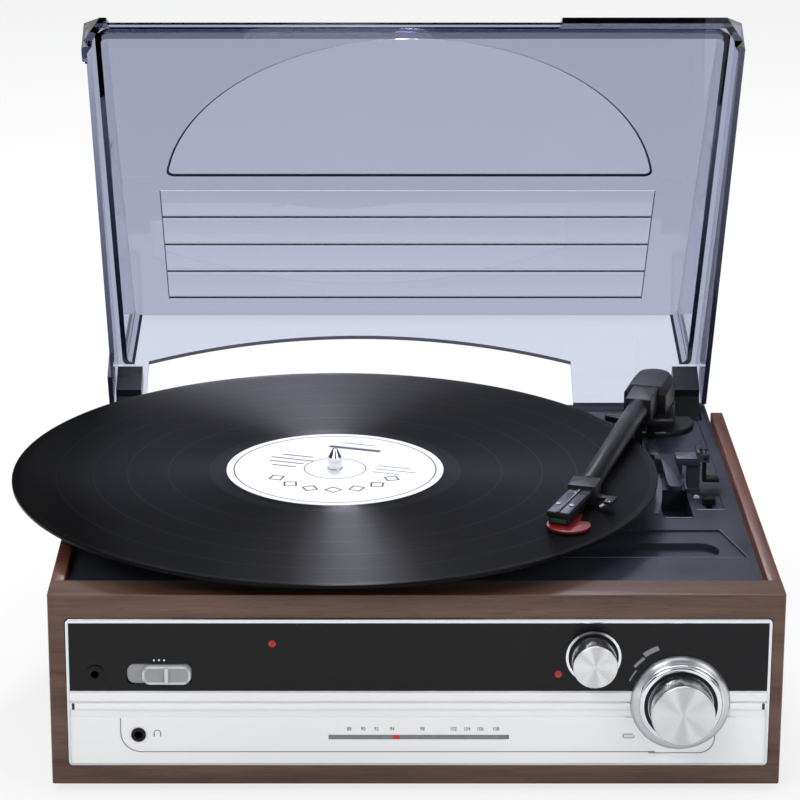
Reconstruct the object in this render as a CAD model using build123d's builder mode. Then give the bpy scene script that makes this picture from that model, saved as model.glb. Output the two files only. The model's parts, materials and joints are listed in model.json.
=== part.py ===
from build123d import *
import math
import os

# Stereo music centre: a turntable in a wooden cabinet with a radio fascia and a smoked lid.
# Millimetres. X runs to the right, Y to the back, Z up; the origin is in the middle of the
# underside of the wooden cabinet. The lid is modelled open, the tonearm resting on a record.

# ---------------------------------------------------------------- cabinet
cabinet_width = 318.6
cabinet_depth = 253.2
cabinet_height = 88.6
side_thick = 6.0
front_thick = 17.6
base_thick = 5.0
edge_round = 1.2
block_size = 12.0
foot_radius = 9.0
foot_height = 4.0
foot_inset = 24.0
foot_round = 0.8
face_gap = 0.2  # between a fitted piece and the board beside it
clear = 0.3  # between pieces that move past each other
shaft_fit = 0.05  # radial clearance of a shaft in its bore
half_width = cabinet_width / 2
half_depth = cabinet_depth / 2
inner_x = half_width - side_thick
front_inner_y = -half_depth + front_thick

# ---------------------------------------------------------------- deck and rear cover
# Places near an edge are stated from that edge, so they keep to it when the cabinet grows.
deck_thick = 3.0
deck_drop = 4.6  # deck surface below the cabinet's top edge
deck_top = cabinet_height - deck_drop
deck_under = deck_top - deck_thick
cover_wall = 2.5
cover_reach = 26.6  # how far the rear cover stands out behind the wood
cover_overlap = 10.0
recess_depth = 1.0
recess_radius = 98.0
channel_front_y = -68.4
channel_back_y = -33.0
channel_right_x = half_width - 9.8
channel_slant = 9.0
finger_front_y = -67.0
finger_back_y = -48.0
finger_right_x = half_width - 21.3
finger_depth = 3.0
trough_wall = 1.6
well_left_x = half_width - 42.7
well_right_x = half_width - 28.8
well_front_y = -17.0
well_back_y = 21.6
well_depth = 10.5

# ---------------------------------------------------------------- record, platter and drive
spindle_x = -36.1
spindle_y = 3.8
record_radius = 150.8
record_thick = 1.6
label_radius = 50.8
label_rise = 0.2
mat_radius = 94.0
mat_thick = 1.3
platter_radius = 95.0
platter_thick = 4.0
platter_lift = 10.0  # underside of the platter disc above the deck
platter_rim = 3.0
platter_rim_drop = 7.0
hub_radius = 9.0
ring_radius = 62.0
ring_wall = 4.0
ring_drop = 8.0
spindle_radius = 3.6
spindle_bead = 0.7  # shoulder above the record
spindle_tip_radius = 3.2
spindle_tip_length = 5.4
spindle_nose = 4.0
bush_wall = 2.4
bush_length = 24.0
bush_flange_radius = 9.0
bush_flange_thick = 1.5
bush_end = 2.0
bush_nut = 2.0
pulley_radius = 4.5
pulley_length = 7.0
pulley_distance = 78.0
pulley_bearing = 135.0  # degrees from +X, seen from above
belt_width = 4.0
belt_thick = 0.8
belt_gap = 0.25
motor_radius = 16.0
motor_length = 30.0
motor_shaft_radius = 1.0
motor_plate_half_width = 24.0
motor_plate_half_depth = 9.0
motor_plate_thick = 1.0
disc_under = deck_top + platter_lift
disc_top = disc_under + platter_thick
mat_top = disc_top + mat_thick
record_top = mat_top + record_thick

# ---------------------------------------------------------------- tonearm
pivot_x = half_width - 35.8
pivot_y = 120.0
arm_angle = 15.74  # degrees from straight forwards, towards the record
arm_length = 207.0  # pivot to stylus
tube_radius = 5.0
base_radius = 20.5
base_thick_arm = 2.5
base_round = 1.0
collar_radius = 8.0
collar_length = 14.0
turret_shaft_radius = 5.0
turret_radius = 11.0
turret_height = 9.6
turret_end_gap = 1.0
yoke_radius = 6.0
yoke_rise = 2.8
trunnion_radius = 1.2
housing_width = 21.0
housing_front = 24.0
housing_rise = 5.5  # top of the housing above the tube's centre line
housing_drop = 8.0
housing_wall = 2.0
housing_bevel = 3.5
housing_bevel_down = 2.8
housing_taper = 6.0
shell_start = arm_length - 46.0
shell_neck_width = 13.0
shell_neck_length = 13.0
shell_neck_height = 9.0
shell_turn = 6.0  # degrees that the headshell is turned inwards from the tube
shell_length = 33.0
shell_width = 10.5
shell_thick = 2.2
shell_rise = 0.4  # underside of the headshell above the tube's centre line
shell_shift = -0.9
shell_lap = 2.0  # over the neck
shell_ridge = 0.6
shell_ridge_width = 1.4
lift_reach = 15.3  # finger lift, from the middle of the headshell
lift_width = 4.0
lift_thick = 1.4
lift_drop = 1.1  # top of the lift below the tube's centre line
lift_back = 7.5
lift_leg = 9.0
cartridge_width = 9.0
cartridge_length = 26.0
cartridge_height = 3.85
cartridge_inset = 1.0  # behind the headshell's front edge
stylus_radius = 9.8
stylus_length = 18.0
stylus_height = 1.25
stylus_centre = 3.4  # of its rounded nose, behind the tip
stylus_tip_radius = 0.15
stylus_root_radius = 0.5
stylus_tip_length = 0.35
stylus_gap = 0.05
# The record sets the height of the tube's centre line.
stylus_bottom = record_top + stylus_gap + stylus_tip_length
arm_height = stylus_bottom + stylus_height + cartridge_height - shell_rise

# ---------------------------------------------------------------- arm rest, cueing and speed switch
rest_y = 24.0
rest_depth = 10.0
rest_left_x = half_width - 33.8
rest_post_x = half_width - 28.3
rest_foot_thick = 1.5
rest_post_depth = 6.0
rest_ear = 1.5
rest_plate_thick = 3.5
rest_wall_thick = 1.6
rest_wall_rise = 3.0
park_angle = 19.4  # from playing at the rim back to the rest
clip_pin_radius = 1.0
clip_knuckle_radius = 2.0
clip_thick = 1.6
clip_hook = 7.0
lever_pivot_y = 48.0
lever_front_y = 8.6
lever_x = half_width - 34.8
lever_width = 7.0
lever_thick = 2.6
lever_lift = 3.9  # underside of the lever above the deck
lever_rear_x = half_width - 41.3
lever_rear_width = 5.0
lever_bend = 4.0
lever_gap = 0.7  # below the cue pad's foot
lever_rear_length = 33.0
lever_ear_width = 3.0
lever_ear_half_depth = 3.0
lever_ear_rise = 2.5
lever_angle = 7.5
lever_pin_radius = 1.2
pad_radius = 42.0
pad_width = 4.0
pad_thick = 3.0
pad_start = -8.0
pad_end = 38.0
pad_gap = 0.4  # below the tube
pad_foot_inset = 0.5
pad_foot_length = 4.0
pad_post_radius = 2.0
pad_post_length = 2.0  # below the deck
speed_x = half_width - 19.8
speed_y = 6.0
speed_length = 22.0
speed_width = 13.0
speed_travel = 9.0
speed_knob_length = 7.0
speed_knob_width = 6.0
speed_knob_rise = 3.0
speed_knob_bevel = 0.8
speed_stem_length = 4.0  # into the switch
speed_slot_width = 3.0
speed_switch_width = 12.0
speed_switch_length = 22.0
speed_switch_height = 10.0

# ---------------------------------------------------------------- fascia
window_left = 7.3 - half_width
window_right = half_width - 5.4
window_bottom = 8.7
window_top = cabinet_height - 10.8
window_round = 2.0
window_width = window_right - window_left
window_height = window_top - window_bottom


def across(share):
    """A place along the fascia, as a share of the window's width."""
    return window_left + share * window_width


def up(share):
    """A height on the fascia, as a share of the window's height."""
    return window_bottom + share * window_height


panel_recess = 0.2  # behind the cabinet's front face
panel_thick = 3.0
trim_side = 1.3
trim_top = 2.0
trim_bottom = 0.8
trim_proud = 0.6
rail_top = up(0.509)
rail_split = up(0.438)
rail_bottom = up(0.333)
rail_proud = 1.2
rib_edge = 0.3
rib_half_gap = 0.5
rib_low_height = 2.8
flange_reach = 2.8
flange_thick = 2.0
volume_x = across(0.8722)
volume_z = up(0.434)
volume_ring_radius = 21.6
volume_ring_proud = 3.0
volume_step_radius = 18.2
volume_step_proud = 4.6
volume_knob_radius = 13.8
volume_knob_reach = 15.8
volume_knob_round = 0.8
volume_collar = 3.4
volume_pot_radius = 11.0
volume_pot_length = 12.0
tuning_x = across(0.7476)
tuning_z = up(0.745)
tuning_bezel_radius = 12.0
tuning_bezel_proud = 1.4
tuning_knob_radius = 9.7
tuning_knob_reach = 13.0
tuning_knob_round = 0.6
knob_shaft_radius = 3.0
knob_shaft_grip = 6.0
capacitor_half_width = 12.0
capacitor_half_height = 10.0
capacitor_depth = 16.0
capacitor_ear = 1.6
drum_radius = 7.0
drum_flange = 1.5
drum_gap = 1.5
drum_length = 6.0
aux_x = across(0.0412)
aux_z = up(0.624)
phones_x = across(0.1013)
phones_z = up(0.213)
socket_radius = 4.0
phones_ring_radius = 3.2
jack_proud = 0.8
jack_body_radius = 2.8
jack_bore_radius = 1.8
jack_depth = 14.0
jack_block_half_width = 5.0
jack_block_half_height = 4.0
jack_block_depth = 8.0
selector_right = across(0.1788)
selector_left = selector_right - 28.3
selector_bottom = up(0.557)
selector_top = selector_bottom + 9.4
selector_depth = 1.6
selector_corner = 2.4
selector_gap = 0.5
selector_knob_width = 21.0
selector_travel = 6.8
selector_proud = 2.2
selector_ridge_width = 1.6
selector_ridge_rise = 1.2
selector_stem = 2.4
selector_switch_half_height = 5.0
selector_switch_depth = 9.0
cord_slot_half_height = 1.5
led_radius = 1.6
led_proud = 0.3
led_flange = 0.6
power_led_x = across(0.2929)
power_led_z = up(0.829)
radio_led_x = across(0.6983)
radio_led_z = up(0.624)
dial_left = across(0.372)
dial_right = across(0.6299)
dial_z = up(0.194)
dial_height = 2.2
dial_glass_thick = 1.0
pointer_x = across(0.4691)
pointer_width = 1.6
pointer_block = 8.0
rail_rod_y = 6.0  # behind the fascia's frame
rail_end_gap = 5.0
rail_end_thick = 3.0
rail_rod_radius = 1.5

# ---------------------------------------------------------------- lid
lid_open = 62.2  # degrees from shut
hinge_y = half_depth + 8.9
hinge_z = cabinet_height - 10.4
lid_wall = 2.5
lid_side_gap = 1.2
lid_half_width = inner_x - lid_side_gap
lid_back_y = half_depth + 7.2
lid_front_y = 4.6 - half_depth
lid_front_rim_z = cabinet_height + 0.4
lid_side_rim_z = cabinet_height - 4.1
lid_back_rim_z = cabinet_height + 2.4
rim_step_y = lid_front_y + 13.6
ledge_front_y = lid_front_y + 15.5
ledge_front_z = cabinet_height + 15.4
ledge_back_z = cabinet_height + 32.7
ledge_width = 4.6
crown_lean = 2.5
crown_overlap = 1.0  # the two parts of the lid's hollow run into each other
panel_front_y = lid_front_y + 27.0
panel_front_z = cabinet_height + 22.4
panel_back_z = cabinet_height + 67.2
corner_x = 9.0
corner_y = 15.0
loop_front = 3.0
loop_back = 5.0
slot_half_length = 102.2  # of the record slots in the lid's sides
slot_half_width = 104.0  # of the record slot in its front
slot_clear = 0.7
back_slot_end_z = cabinet_height + 32.4
back_slot_peak_z = cabinet_height + 51.4
knuckle_radius = 5.0
knuckle_right = lid_half_width - 3.2
knuckle_left = knuckle_right - 12.8
hinge_ear = 1.2
hinge_ear_half_depth = 6.0
hinge_flange = 8.0
hinge_plate_thick = 1.5
hinge_pin_radius = 1.5
leaf_height = 17.0
leaf_thick = 9.3

# ---------------------------------------------------------------- boards and sockets inside
board_thick = 1.6
board_height = 7.0
board_post_radius = 3.0
socket_body = 9.0
socket_proud = 2.0
socket_bore_depth = 8.0
socket_flange = 1.4
phono_tube = 5.0
phono_bore_depth = 11.0
jack_row_z = 38.0
line_out_x = -60.0
dc_x = -110.0
terminal_x = 60.0
antenna_x = 115.0
line_out_gap = 18.0

# Places worked out from the sizes above.
cover_back_y = half_depth + cover_reach
cover_front_y = half_depth - cover_overlap
tray_x = inner_x - face_gap
pulley_x = spindle_x + pulley_distance * math.cos(math.radians(pulley_bearing))
pulley_y = spindle_y + pulley_distance * math.sin(math.radians(pulley_bearing))
belt_z = disc_under - ring_drop + 2.0
bush_bore = spindle_radius + shaft_fit


def slab(x, y, z, mode=Mode.ADD):
    """A box between pairs of low and high coordinates."""
    centre = (sum(x) / 2, sum(y) / 2, sum(z) / 2)
    with Locations(centre):
        Box(x[1] - x[0], y[1] - y[0], z[1] - z[0], mode=mode)


def post(at, z, radius, mode=Mode.ADD):
    """An upright cylinder at (x, y) between two heights."""
    with Locations((at[0], at[1], sum(z) / 2)):
        Cylinder(radius, z[1] - z[0], mode=mode)


def barrel(at, y, radius, mode=Mode.ADD):
    """A cylinder along Y at (x, z)."""
    with Locations(Location((at[0], sum(y) / 2, at[1]), (90, 0, 0))):
        Cylinder(radius, y[1] - y[0], mode=mode)


def rod(at, x, radius, mode=Mode.ADD):
    """A cylinder along X at (y, z)."""
    with Locations(Location((sum(x) / 2, at[0], at[1]), (0, 90, 0))):
        Cylinder(radius, x[1] - x[0], mode=mode)


def facing(y):
    """A sketch plane that faces forwards: its own axes are X and Z."""
    return Plane.XZ.offset(-y)


os.makedirs("parts", exist_ok=True)

# ================================================================ wooden cabinet
panel_y = -half_depth + panel_recess
plate_front_y = panel_y + panel_thick
plate_back_y = plate_front_y + panel_thick
window_x = (window_left + window_right) / 2
window_z = (window_bottom + window_top) / 2

with BuildPart() as front_frame:
    slab((-half_width, half_width), (-half_depth, front_inner_y), (0, cabinet_height))
    fillet(front_frame.edges().filter_by(Axis.Z).group_by(Axis.Y)[0], radius=edge_round)
    with BuildSketch(facing(-half_depth)):
        with Locations((window_x, window_z)):
            RectangleRounded(window_width, window_height, window_round)
    extrude(amount=-front_thick, mode=Mode.SUBTRACT)
front_frame.part.label = "front_frame"
export_step(front_frame.part, "parts/front_frame.step")

with BuildPart() as left_side_board:
    slab((-half_width, -inner_x), (front_inner_y, half_depth), (0, cabinet_height))
left_side_board.part.label = "left_side_board"
export_step(left_side_board.part, "parts/left_side_board.step")

with BuildPart() as right_side_board:
    slab((inner_x, half_width), (front_inner_y, half_depth), (0, cabinet_height))
right_side_board.part.label = "right_side_board"
export_step(right_side_board.part, "parts/right_side_board.step")

foot_spots = [
    (side * (half_width - foot_inset), end * (half_depth - foot_inset))
    for side in (-1, 1)
    for end in (-1, 1)
]
screw_radius = 1.5
screw_head_radius = 3.0
screw_head_thick = 1.6
screw_bite = 3.0
vent_length = 56.0
vent_width = 3.0
vent_pitch = 9.0
vent_count = 7
vent_x = 60.0
vent_y = 20.0

with BuildPart() as base_board:
    slab((-inner_x, inner_x), (front_inner_y, half_depth), (0, base_thick))
    with Locations((-vent_x, vent_y, base_thick / 2), (vent_x, vent_y, base_thick / 2)):
        with GridLocations(0, vent_pitch, 1, vent_count):
            Box(vent_length, vent_width, base_thick, mode=Mode.SUBTRACT)
    for spot in foot_spots:
        post(spot, (0, base_thick), screw_radius, Mode.SUBTRACT)
base_board.part.label = "base_board"
export_step(base_board.part, "parts/base_board.step")

with BuildPart() as corner_blocks:
    for side in (-1, 1):
        x = sorted((side * inner_x, side * (inner_x - block_size)))
        slab(x, (front_inner_y, front_inner_y + block_size), (base_thick, deck_under))
corner_blocks.part.label = "corner_blocks"
export_step(corner_blocks.part, "parts/corner_blocks.step")

foot_ledge = -screw_head_thick  # the screw heads bear on this ledge inside each foot
with BuildPart() as feet:
    for spot in foot_spots:
        post(spot, (-foot_height, 0), foot_radius)
    fillet(feet.edges().group_by(Axis.Z)[0], radius=foot_round)
    for spot in foot_spots:
        post(spot, (-foot_height, 0), screw_radius, Mode.SUBTRACT)
        post(spot, (-foot_height, foot_ledge), screw_head_radius + clear, Mode.SUBTRACT)
feet.part.label = "feet"
export_step(feet.part, "parts/feet.step")

with BuildPart() as cabinet_screws:
    for spot in foot_spots:
        post(spot, (foot_ledge - screw_head_thick, foot_ledge), screw_head_radius)
        post(spot, (foot_ledge, base_thick + screw_bite), screw_radius - shaft_fit)
cabinet_screws.part.label = "cabinet_screws"
export_step(cabinet_screws.part, "parts/cabinet_screws.step")

# ================================================================ rear cover and its sockets
socket_back_y = cover_back_y + socket_proud
socket_front_y = cover_back_y - cover_wall - socket_body
line_out_spots = [(line_out_x + side * line_out_gap / 2, jack_row_z) for side in (-1, 1)]
line_out_radius = 4.2
line_out_flange = 1.6
dc_radius = 4.6
dc_bore = 2.9
dc_pin_radius = 1.0
terminal_pitch = 13.0
terminal_spots = [(terminal_x + step * terminal_pitch, jack_row_z) for step in (-1.5, -0.5, 0.5, 1.5)]
terminal_bore = 1.8
antenna_radius = 4.8
antenna_bore = 1.3
grille_slot_width = 3.0
grille_slot_height = 12.0
grille_pitch = 14.0
grille_count = 9
grille_z = deck_under - 14.0

with BuildPart() as rear_cover:
    slab((-tray_x, tray_x), (cover_front_y, cover_back_y), (base_thick, deck_under))
    slab(
        (-tray_x + cover_wall, tray_x - cover_wall),
        (cover_front_y, cover_back_y - cover_wall),
        (base_thick + cover_wall, deck_under),
        Mode.SUBTRACT,
    )
    wall = (cover_back_y - cover_wall, cover_back_y)
    for spot in line_out_spots + terminal_spots:
        barrel(spot, wall, line_out_radius, Mode.SUBTRACT)
    barrel((dc_x, jack_row_z), wall, dc_radius, Mode.SUBTRACT)
    barrel((antenna_x, jack_row_z), wall, antenna_radius, Mode.SUBTRACT)
    with Locations((0, cover_back_y - cover_wall / 2, grille_z)):
        with GridLocations(grille_pitch, 0, grille_count, 1):
            Box(grille_slot_width, cover_wall, grille_slot_height, mode=Mode.SUBTRACT)
rear_cover.part.label = "rear_cover"
export_step(rear_cover.part, "parts/rear_cover.step")

with BuildPart() as line_out_sockets:
    for spot in line_out_spots:
        mouth_y = socket_back_y + phono_tube
        barrel(spot, (socket_front_y, mouth_y), line_out_radius - shaft_fit)
        barrel(spot, (cover_back_y, socket_back_y), line_out_radius + line_out_flange)
        barrel(spot, (mouth_y - phono_bore_depth, mouth_y), terminal_bore, Mode.SUBTRACT)
line_out_sockets.part.label = "line_out_sockets"
export_step(line_out_sockets.part, "parts/line_out_sockets.step")

with BuildPart() as speaker_terminals:
    for spot in terminal_spots:
        barrel(spot, (socket_front_y, socket_back_y), line_out_radius - shaft_fit)
        barrel(spot, (cover_back_y, socket_back_y), line_out_radius + line_out_flange)
        barrel(spot, (socket_back_y - socket_bore_depth, socket_back_y), terminal_bore, Mode.SUBTRACT)
speaker_terminals.part.label = "speaker_terminals"
export_step(speaker_terminals.part, "parts/speaker_terminals.step")

with BuildPart() as rear_sockets:
    for x, radius, bore in ((dc_x, dc_radius, dc_bore), (antenna_x, antenna_radius, antenna_bore)):
        barrel((x, jack_row_z), (socket_front_y, cover_back_y), radius - shaft_fit)
        barrel((x, jack_row_z), (cover_back_y, socket_back_y), radius + socket_flange)
        barrel((x, jack_row_z), (socket_back_y - socket_bore_depth, socket_back_y), bore, Mode.SUBTRACT)
    barrel((dc_x, jack_row_z), (socket_back_y - socket_bore_depth, cover_back_y), dc_pin_radius)
rear_sockets.part.label = "rear_sockets"
export_step(rear_sockets.part, "parts/rear_sockets.step")

# ================================================================ deck
deck_front_y = front_inner_y + face_gap
finger_top = deck_top - recess_depth
finger_floor = finger_top - finger_depth
pad_middle = math.radians((pad_start + pad_end) / 2)
pad_post_x = pivot_x - pad_radius * math.sin(pad_middle)
pad_post_y = pivot_y - pad_radius * math.cos(pad_middle)
lever_bottom = deck_top + lever_lift
lever_top = lever_bottom + lever_thick
lever_pivot_z = lever_bottom + lever_thick / 2
lever_left = lever_x - lever_width / 2
lever_right = lever_x + lever_width / 2
lever_pin = (lever_left - lever_ear_width, lever_right + lever_ear_width)
hinge_slot = (knuckle_left - 2 * clear, knuckle_right + 2 * clear)
hinge_slot_front_y = hinge_y - 8.5
hinge_slot_back_y = hinge_y + 14.5
speed_slot_half = speed_travel / 2 + speed_slot_width

with BuildPart() as deck:
    slab((-tray_x, tray_x), (deck_front_y, cover_back_y), (deck_under, deck_top))
    # Troughs hang below the sheet.
    slab(
        (spindle_x, finger_right_x + trough_wall),
        (finger_front_y - trough_wall, finger_back_y + trough_wall),
        (finger_floor - trough_wall, deck_under),
    )
    slab(
        (well_left_x - trough_wall, well_right_x + trough_wall),
        (well_front_y - trough_wall, well_back_y + trough_wall),
        (deck_top - well_depth - trough_wall, deck_under),
    )
    with BuildSketch(Plane.XY.offset(deck_top)):
        with Locations((spindle_x, spindle_y)):
            Circle(recess_radius)
    extrude(amount=-recess_depth, mode=Mode.SUBTRACT)
    with BuildSketch(Plane.XY.offset(deck_top)):
        with BuildLine():
            Polyline(
                (spindle_x, channel_front_y),
                (channel_right_x, channel_front_y),
                (channel_right_x - channel_slant, channel_back_y),
                (spindle_x, channel_back_y),
                close=True,
            )
        make_face()
    extrude(amount=-recess_depth, mode=Mode.SUBTRACT)
    with BuildSketch(Plane.XY.offset(finger_top)):
        middle_y = (finger_front_y + finger_back_y) / 2
        reach = (finger_back_y - finger_front_y) / 2
        with Locations(((spindle_x + finger_right_x - reach) / 2, middle_y)):
            Rectangle(finger_right_x - reach - spindle_x, 2 * reach)
        with Locations((finger_right_x - reach, middle_y)):
            Circle(reach)
    extrude(amount=-finger_depth, mode=Mode.SUBTRACT)
    slab(
        (well_left_x, well_right_x),
        (well_front_y, well_back_y),
        (deck_top - well_depth, deck_top),
        Mode.SUBTRACT,
    )
    slab(
        (speed_x - speed_width / 2, speed_x + speed_width / 2),
        (speed_y - speed_length / 2, speed_y + speed_length / 2),
        (deck_top - recess_depth, deck_top),
        Mode.SUBTRACT,
    )
    slab(
        (speed_x - speed_slot_width / 2, speed_x + speed_slot_width / 2),
        (speed_y - speed_slot_half, speed_y + speed_slot_half),
        (deck_under, deck_top),
        Mode.SUBTRACT,
    )
    for x, y, radius in (
        (spindle_x, spindle_y, bush_bore + bush_wall + shaft_fit),
        (pulley_x, pulley_y, pulley_radius),
        (pivot_x, pivot_y, collar_radius + shaft_fit),
        (pad_post_x, pad_post_y, pad_post_radius + shaft_fit),
    ):
        post((x, y), (deck_under, deck_top), radius, Mode.SUBTRACT)
    for side in (-1, 1):
        x = sorted((side * hinge_slot[0], side * hinge_slot[1]))
        slab(x, (hinge_slot_front_y, hinge_slot_back_y), (deck_under, deck_top), Mode.SUBTRACT)
    # Ears carry the cue lever's pin.
    ear_y = (lever_pivot_y - lever_ear_half_depth, lever_pivot_y + lever_ear_half_depth)
    for x in ((lever_pin[0], lever_left - clear), (lever_right + clear, lever_pin[1])):
        slab(x, ear_y, (deck_top, lever_pivot_z + lever_ear_rise))
    rod((lever_pivot_y, lever_pivot_z), lever_pin, lever_pin_radius + shaft_fit, Mode.SUBTRACT)
deck.part.label = "deck"
export_step(deck.part, "parts/deck.step")

# ================================================================ drive
spindle_at = (spindle_x, spindle_y)
floor_top = deck_top - recess_depth
bush_top = floor_top + bush_flange_thick
hub_bottom = bush_top + clear
spindle_bottom = bush_top - bush_length + clear

with BuildPart() as platter_bearing:
    post(spindle_at, (bush_top - bush_length - bush_end, bush_top), bush_bore + bush_wall)
    post(spindle_at, (floor_top, bush_top), bush_flange_radius)
    post(spindle_at, (deck_under - bush_nut, deck_under), bush_flange_radius)
    post(spindle_at, (bush_top - bush_length, bush_top), bush_bore, Mode.SUBTRACT)
platter_bearing.part.label = "platter_bearing"
export_step(platter_bearing.part, "parts/platter_bearing.step")

rim_bottom = disc_under - platter_rim_drop
with BuildPart() as platter:
    post(spindle_at, (disc_under, disc_top), platter_radius)
    post(spindle_at, (rim_bottom, disc_under), platter_radius)
    post(spindle_at, (rim_bottom, disc_under), platter_radius - platter_rim, Mode.SUBTRACT)
    post(spindle_at, (disc_under - ring_drop, disc_under), ring_radius)
    post(spindle_at, (disc_under - ring_drop, disc_under), ring_radius - ring_wall, Mode.SUBTRACT)
    post(spindle_at, (hub_bottom, disc_under), hub_radius)
    post(spindle_at, (hub_bottom, disc_top), spindle_radius, Mode.SUBTRACT)
platter.part.label = "platter"
export_step(platter.part, "parts/platter.step")

bead_top = record_top + spindle_bead
tip_base = bead_top + spindle_tip_length
with BuildPart() as spindle:
    post(spindle_at, (spindle_bottom, bead_top), spindle_radius)
    post(spindle_at, (bead_top, tip_base), spindle_tip_radius)
    with Locations((spindle_x, spindle_y, tip_base + spindle_nose / 2)):
        Cone(spindle_tip_radius, spindle_tip_radius / 3, spindle_nose)
spindle.part.label = "spindle"
export_step(spindle.part, "parts/spindle.step")

with BuildPart() as slip_mat:
    post(spindle_at, (disc_top, mat_top), mat_radius)
    post(spindle_at, (disc_top, mat_top), bush_bore, Mode.SUBTRACT)
slip_mat.part.label = "slip_mat"
export_step(slip_mat.part, "parts/slip_mat.step")

with BuildPart() as record:
    post(spindle_at, (mat_top, record_top), record_radius)
    post(spindle_at, (mat_top, record_top), bush_bore, Mode.SUBTRACT)
record.part.label = "record"
export_step(record.part, "parts/record.step")

with BuildPart() as record_label:
    post(spindle_at, (record_top, record_top + label_rise), label_radius)
    post(spindle_at, (record_top, record_top + label_rise), bush_bore, Mode.SUBTRACT)
record_label.part.label = "record_label"
export_step(record_label.part, "parts/record_label.step")

pulley_at = (pulley_x, pulley_y)
motor_top = deck_under - motor_plate_thick
pulley_bottom = disc_under - pulley_length
pulley_top = disc_under - clear
with BuildPart() as motor:
    post(pulley_at, (motor_top - motor_length, motor_top), motor_radius)
    slab(
        (pulley_x - motor_plate_half_width, pulley_x + motor_plate_half_width),
        (pulley_y - motor_plate_half_depth, pulley_y + motor_plate_half_depth),
        (motor_top, deck_under),
    )
    post(pulley_at, (motor_top, pulley_top - clear), motor_shaft_radius)
motor.part.label = "motor"
export_step(motor.part, "parts/motor.step")

with BuildPart() as motor_pulley:
    post(pulley_at, (pulley_bottom, pulley_top), pulley_radius)
    post(pulley_at, (pulley_bottom, pulley_top), motor_shaft_radius + shaft_fit, Mode.SUBTRACT)
motor_pulley.part.label = "motor_pulley"
export_step(motor_pulley.part, "parts/motor_pulley.step")

with BuildPart() as drive_belt:
    with BuildSketch(Plane.XY.offset(belt_z)):
        with BuildSketch(mode=Mode.PRIVATE) as outline:
            with Locations((spindle_x, spindle_y)):
                Circle(ring_radius + belt_gap)
            with Locations((pulley_x, pulley_y)):
                Circle(pulley_radius + belt_gap)
            make_hull(mode=Mode.REPLACE)
        add(outline.sketch)
        offset(amount=belt_thick, mode=Mode.REPLACE)
        add(outline.sketch, mode=Mode.SUBTRACT)
    extrude(amount=belt_width)
drive_belt.part.label = "drive_belt"
export_step(drive_belt.part, "parts/drive_belt.step")

# ================================================================ tonearm
arm_plane = Plane(
    origin=(pivot_x, pivot_y, arm_height),
    x_dir=(math.cos(math.radians(arm_angle)), -math.sin(math.radians(arm_angle)), 0),
    z_dir=(0, 0, 1),
)
# In the arm's own frame X points to its right and -Y along the tube to the headshell.
pillar_bottom = deck_top + base_thick_arm + clear
pillar_top = pillar_bottom + turret_height
yoke_top = arm_height + yoke_rise
housing_bottom = arm_height - housing_drop
housing_top = arm_height + housing_rise


def arm_slab(x, y, z, mode=Mode.ADD):
    """A box in the arm's own frame; z is a height above the origin."""
    with Locations(arm_plane):
        slab(x, y, (z[0] - arm_height, z[1] - arm_height), mode)


def arm_rod(x, radius, mode=Mode.ADD):
    """A cylinder on the arm's lift axis."""
    with Locations(arm_plane):
        with Locations(Location(((x[0] + x[1]) / 2, 0, 0), (0, 90, 0))):
            Cylinder(radius, x[1] - x[0], mode=mode)


pivot_at = (pivot_x, pivot_y)
collar_bottom = deck_top - collar_length
with BuildPart() as tonearm_base:
    post(pivot_at, (deck_top, deck_top + base_thick_arm), base_radius)
    fillet(tonearm_base.edges().group_by(Axis.Z)[-1], radius=base_round)
    post(pivot_at, (collar_bottom, deck_top), collar_radius)
    post(pivot_at, (collar_bottom, deck_top + base_thick_arm), turret_shaft_radius + shaft_fit, Mode.SUBTRACT)
    # The lid's hinge swings through its slot in the deck, so the base stops short of it.
    slab(
        (hinge_slot[0], pivot_x + base_radius),
        (hinge_slot_front_y, pivot_y + base_radius),
        (deck_top, deck_top + base_thick_arm),
        Mode.SUBTRACT,
    )
tonearm_base.part.label = "tonearm_base"
export_step(tonearm_base.part, "parts/tonearm_base.step")

with BuildPart() as tonearm_turret:
    post(pivot_at, (collar_bottom + turret_end_gap, pillar_bottom), turret_shaft_radius)
    post(pivot_at, (pillar_bottom, pillar_top), turret_radius)
    post(pivot_at, (pillar_top, yoke_top), yoke_radius)
    arm_rod((-housing_width / 2 + clear, housing_width / 2 - clear), trunnion_radius)
tonearm_turret.part.label = "tonearm_turret"
export_step(tonearm_turret.part, "parts/tonearm_turret.step")


def housing_outline(inset):
    """The housing seen from above: square in front, round about the pivot behind."""
    half = housing_width / 2 - inset
    front = -housing_front + 1.5 * inset
    with BuildLine() as outline:
        Polyline((-half, 0), (-half, front), (half, front), (half, 0))
        ThreePointArc((half, 0), (0, half), (-half, 0))
    make_face(outline.edges())


with BuildPart() as tonearm_housing:
    with BuildSketch(arm_plane.offset(-housing_drop)):
        housing_outline(0)
    extrude(amount=housing_drop + housing_rise)
    top = tonearm_housing.faces().sort_by(Axis.Z)[-1]
    chamfer(top.edges(), length=housing_bevel, length2=housing_bevel_down)
    with BuildSketch(arm_plane.offset(-housing_drop)):
        housing_outline(housing_wall)
    extrude(amount=housing_drop + housing_rise - housing_wall, taper=housing_taper, mode=Mode.SUBTRACT)
    arm_rod((-housing_width / 2, housing_width / 2), trunnion_radius + shaft_fit, Mode.SUBTRACT)
tonearm_housing.part.label = "tonearm_housing"
export_step(tonearm_housing.part, "parts/tonearm_housing.step")

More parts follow.
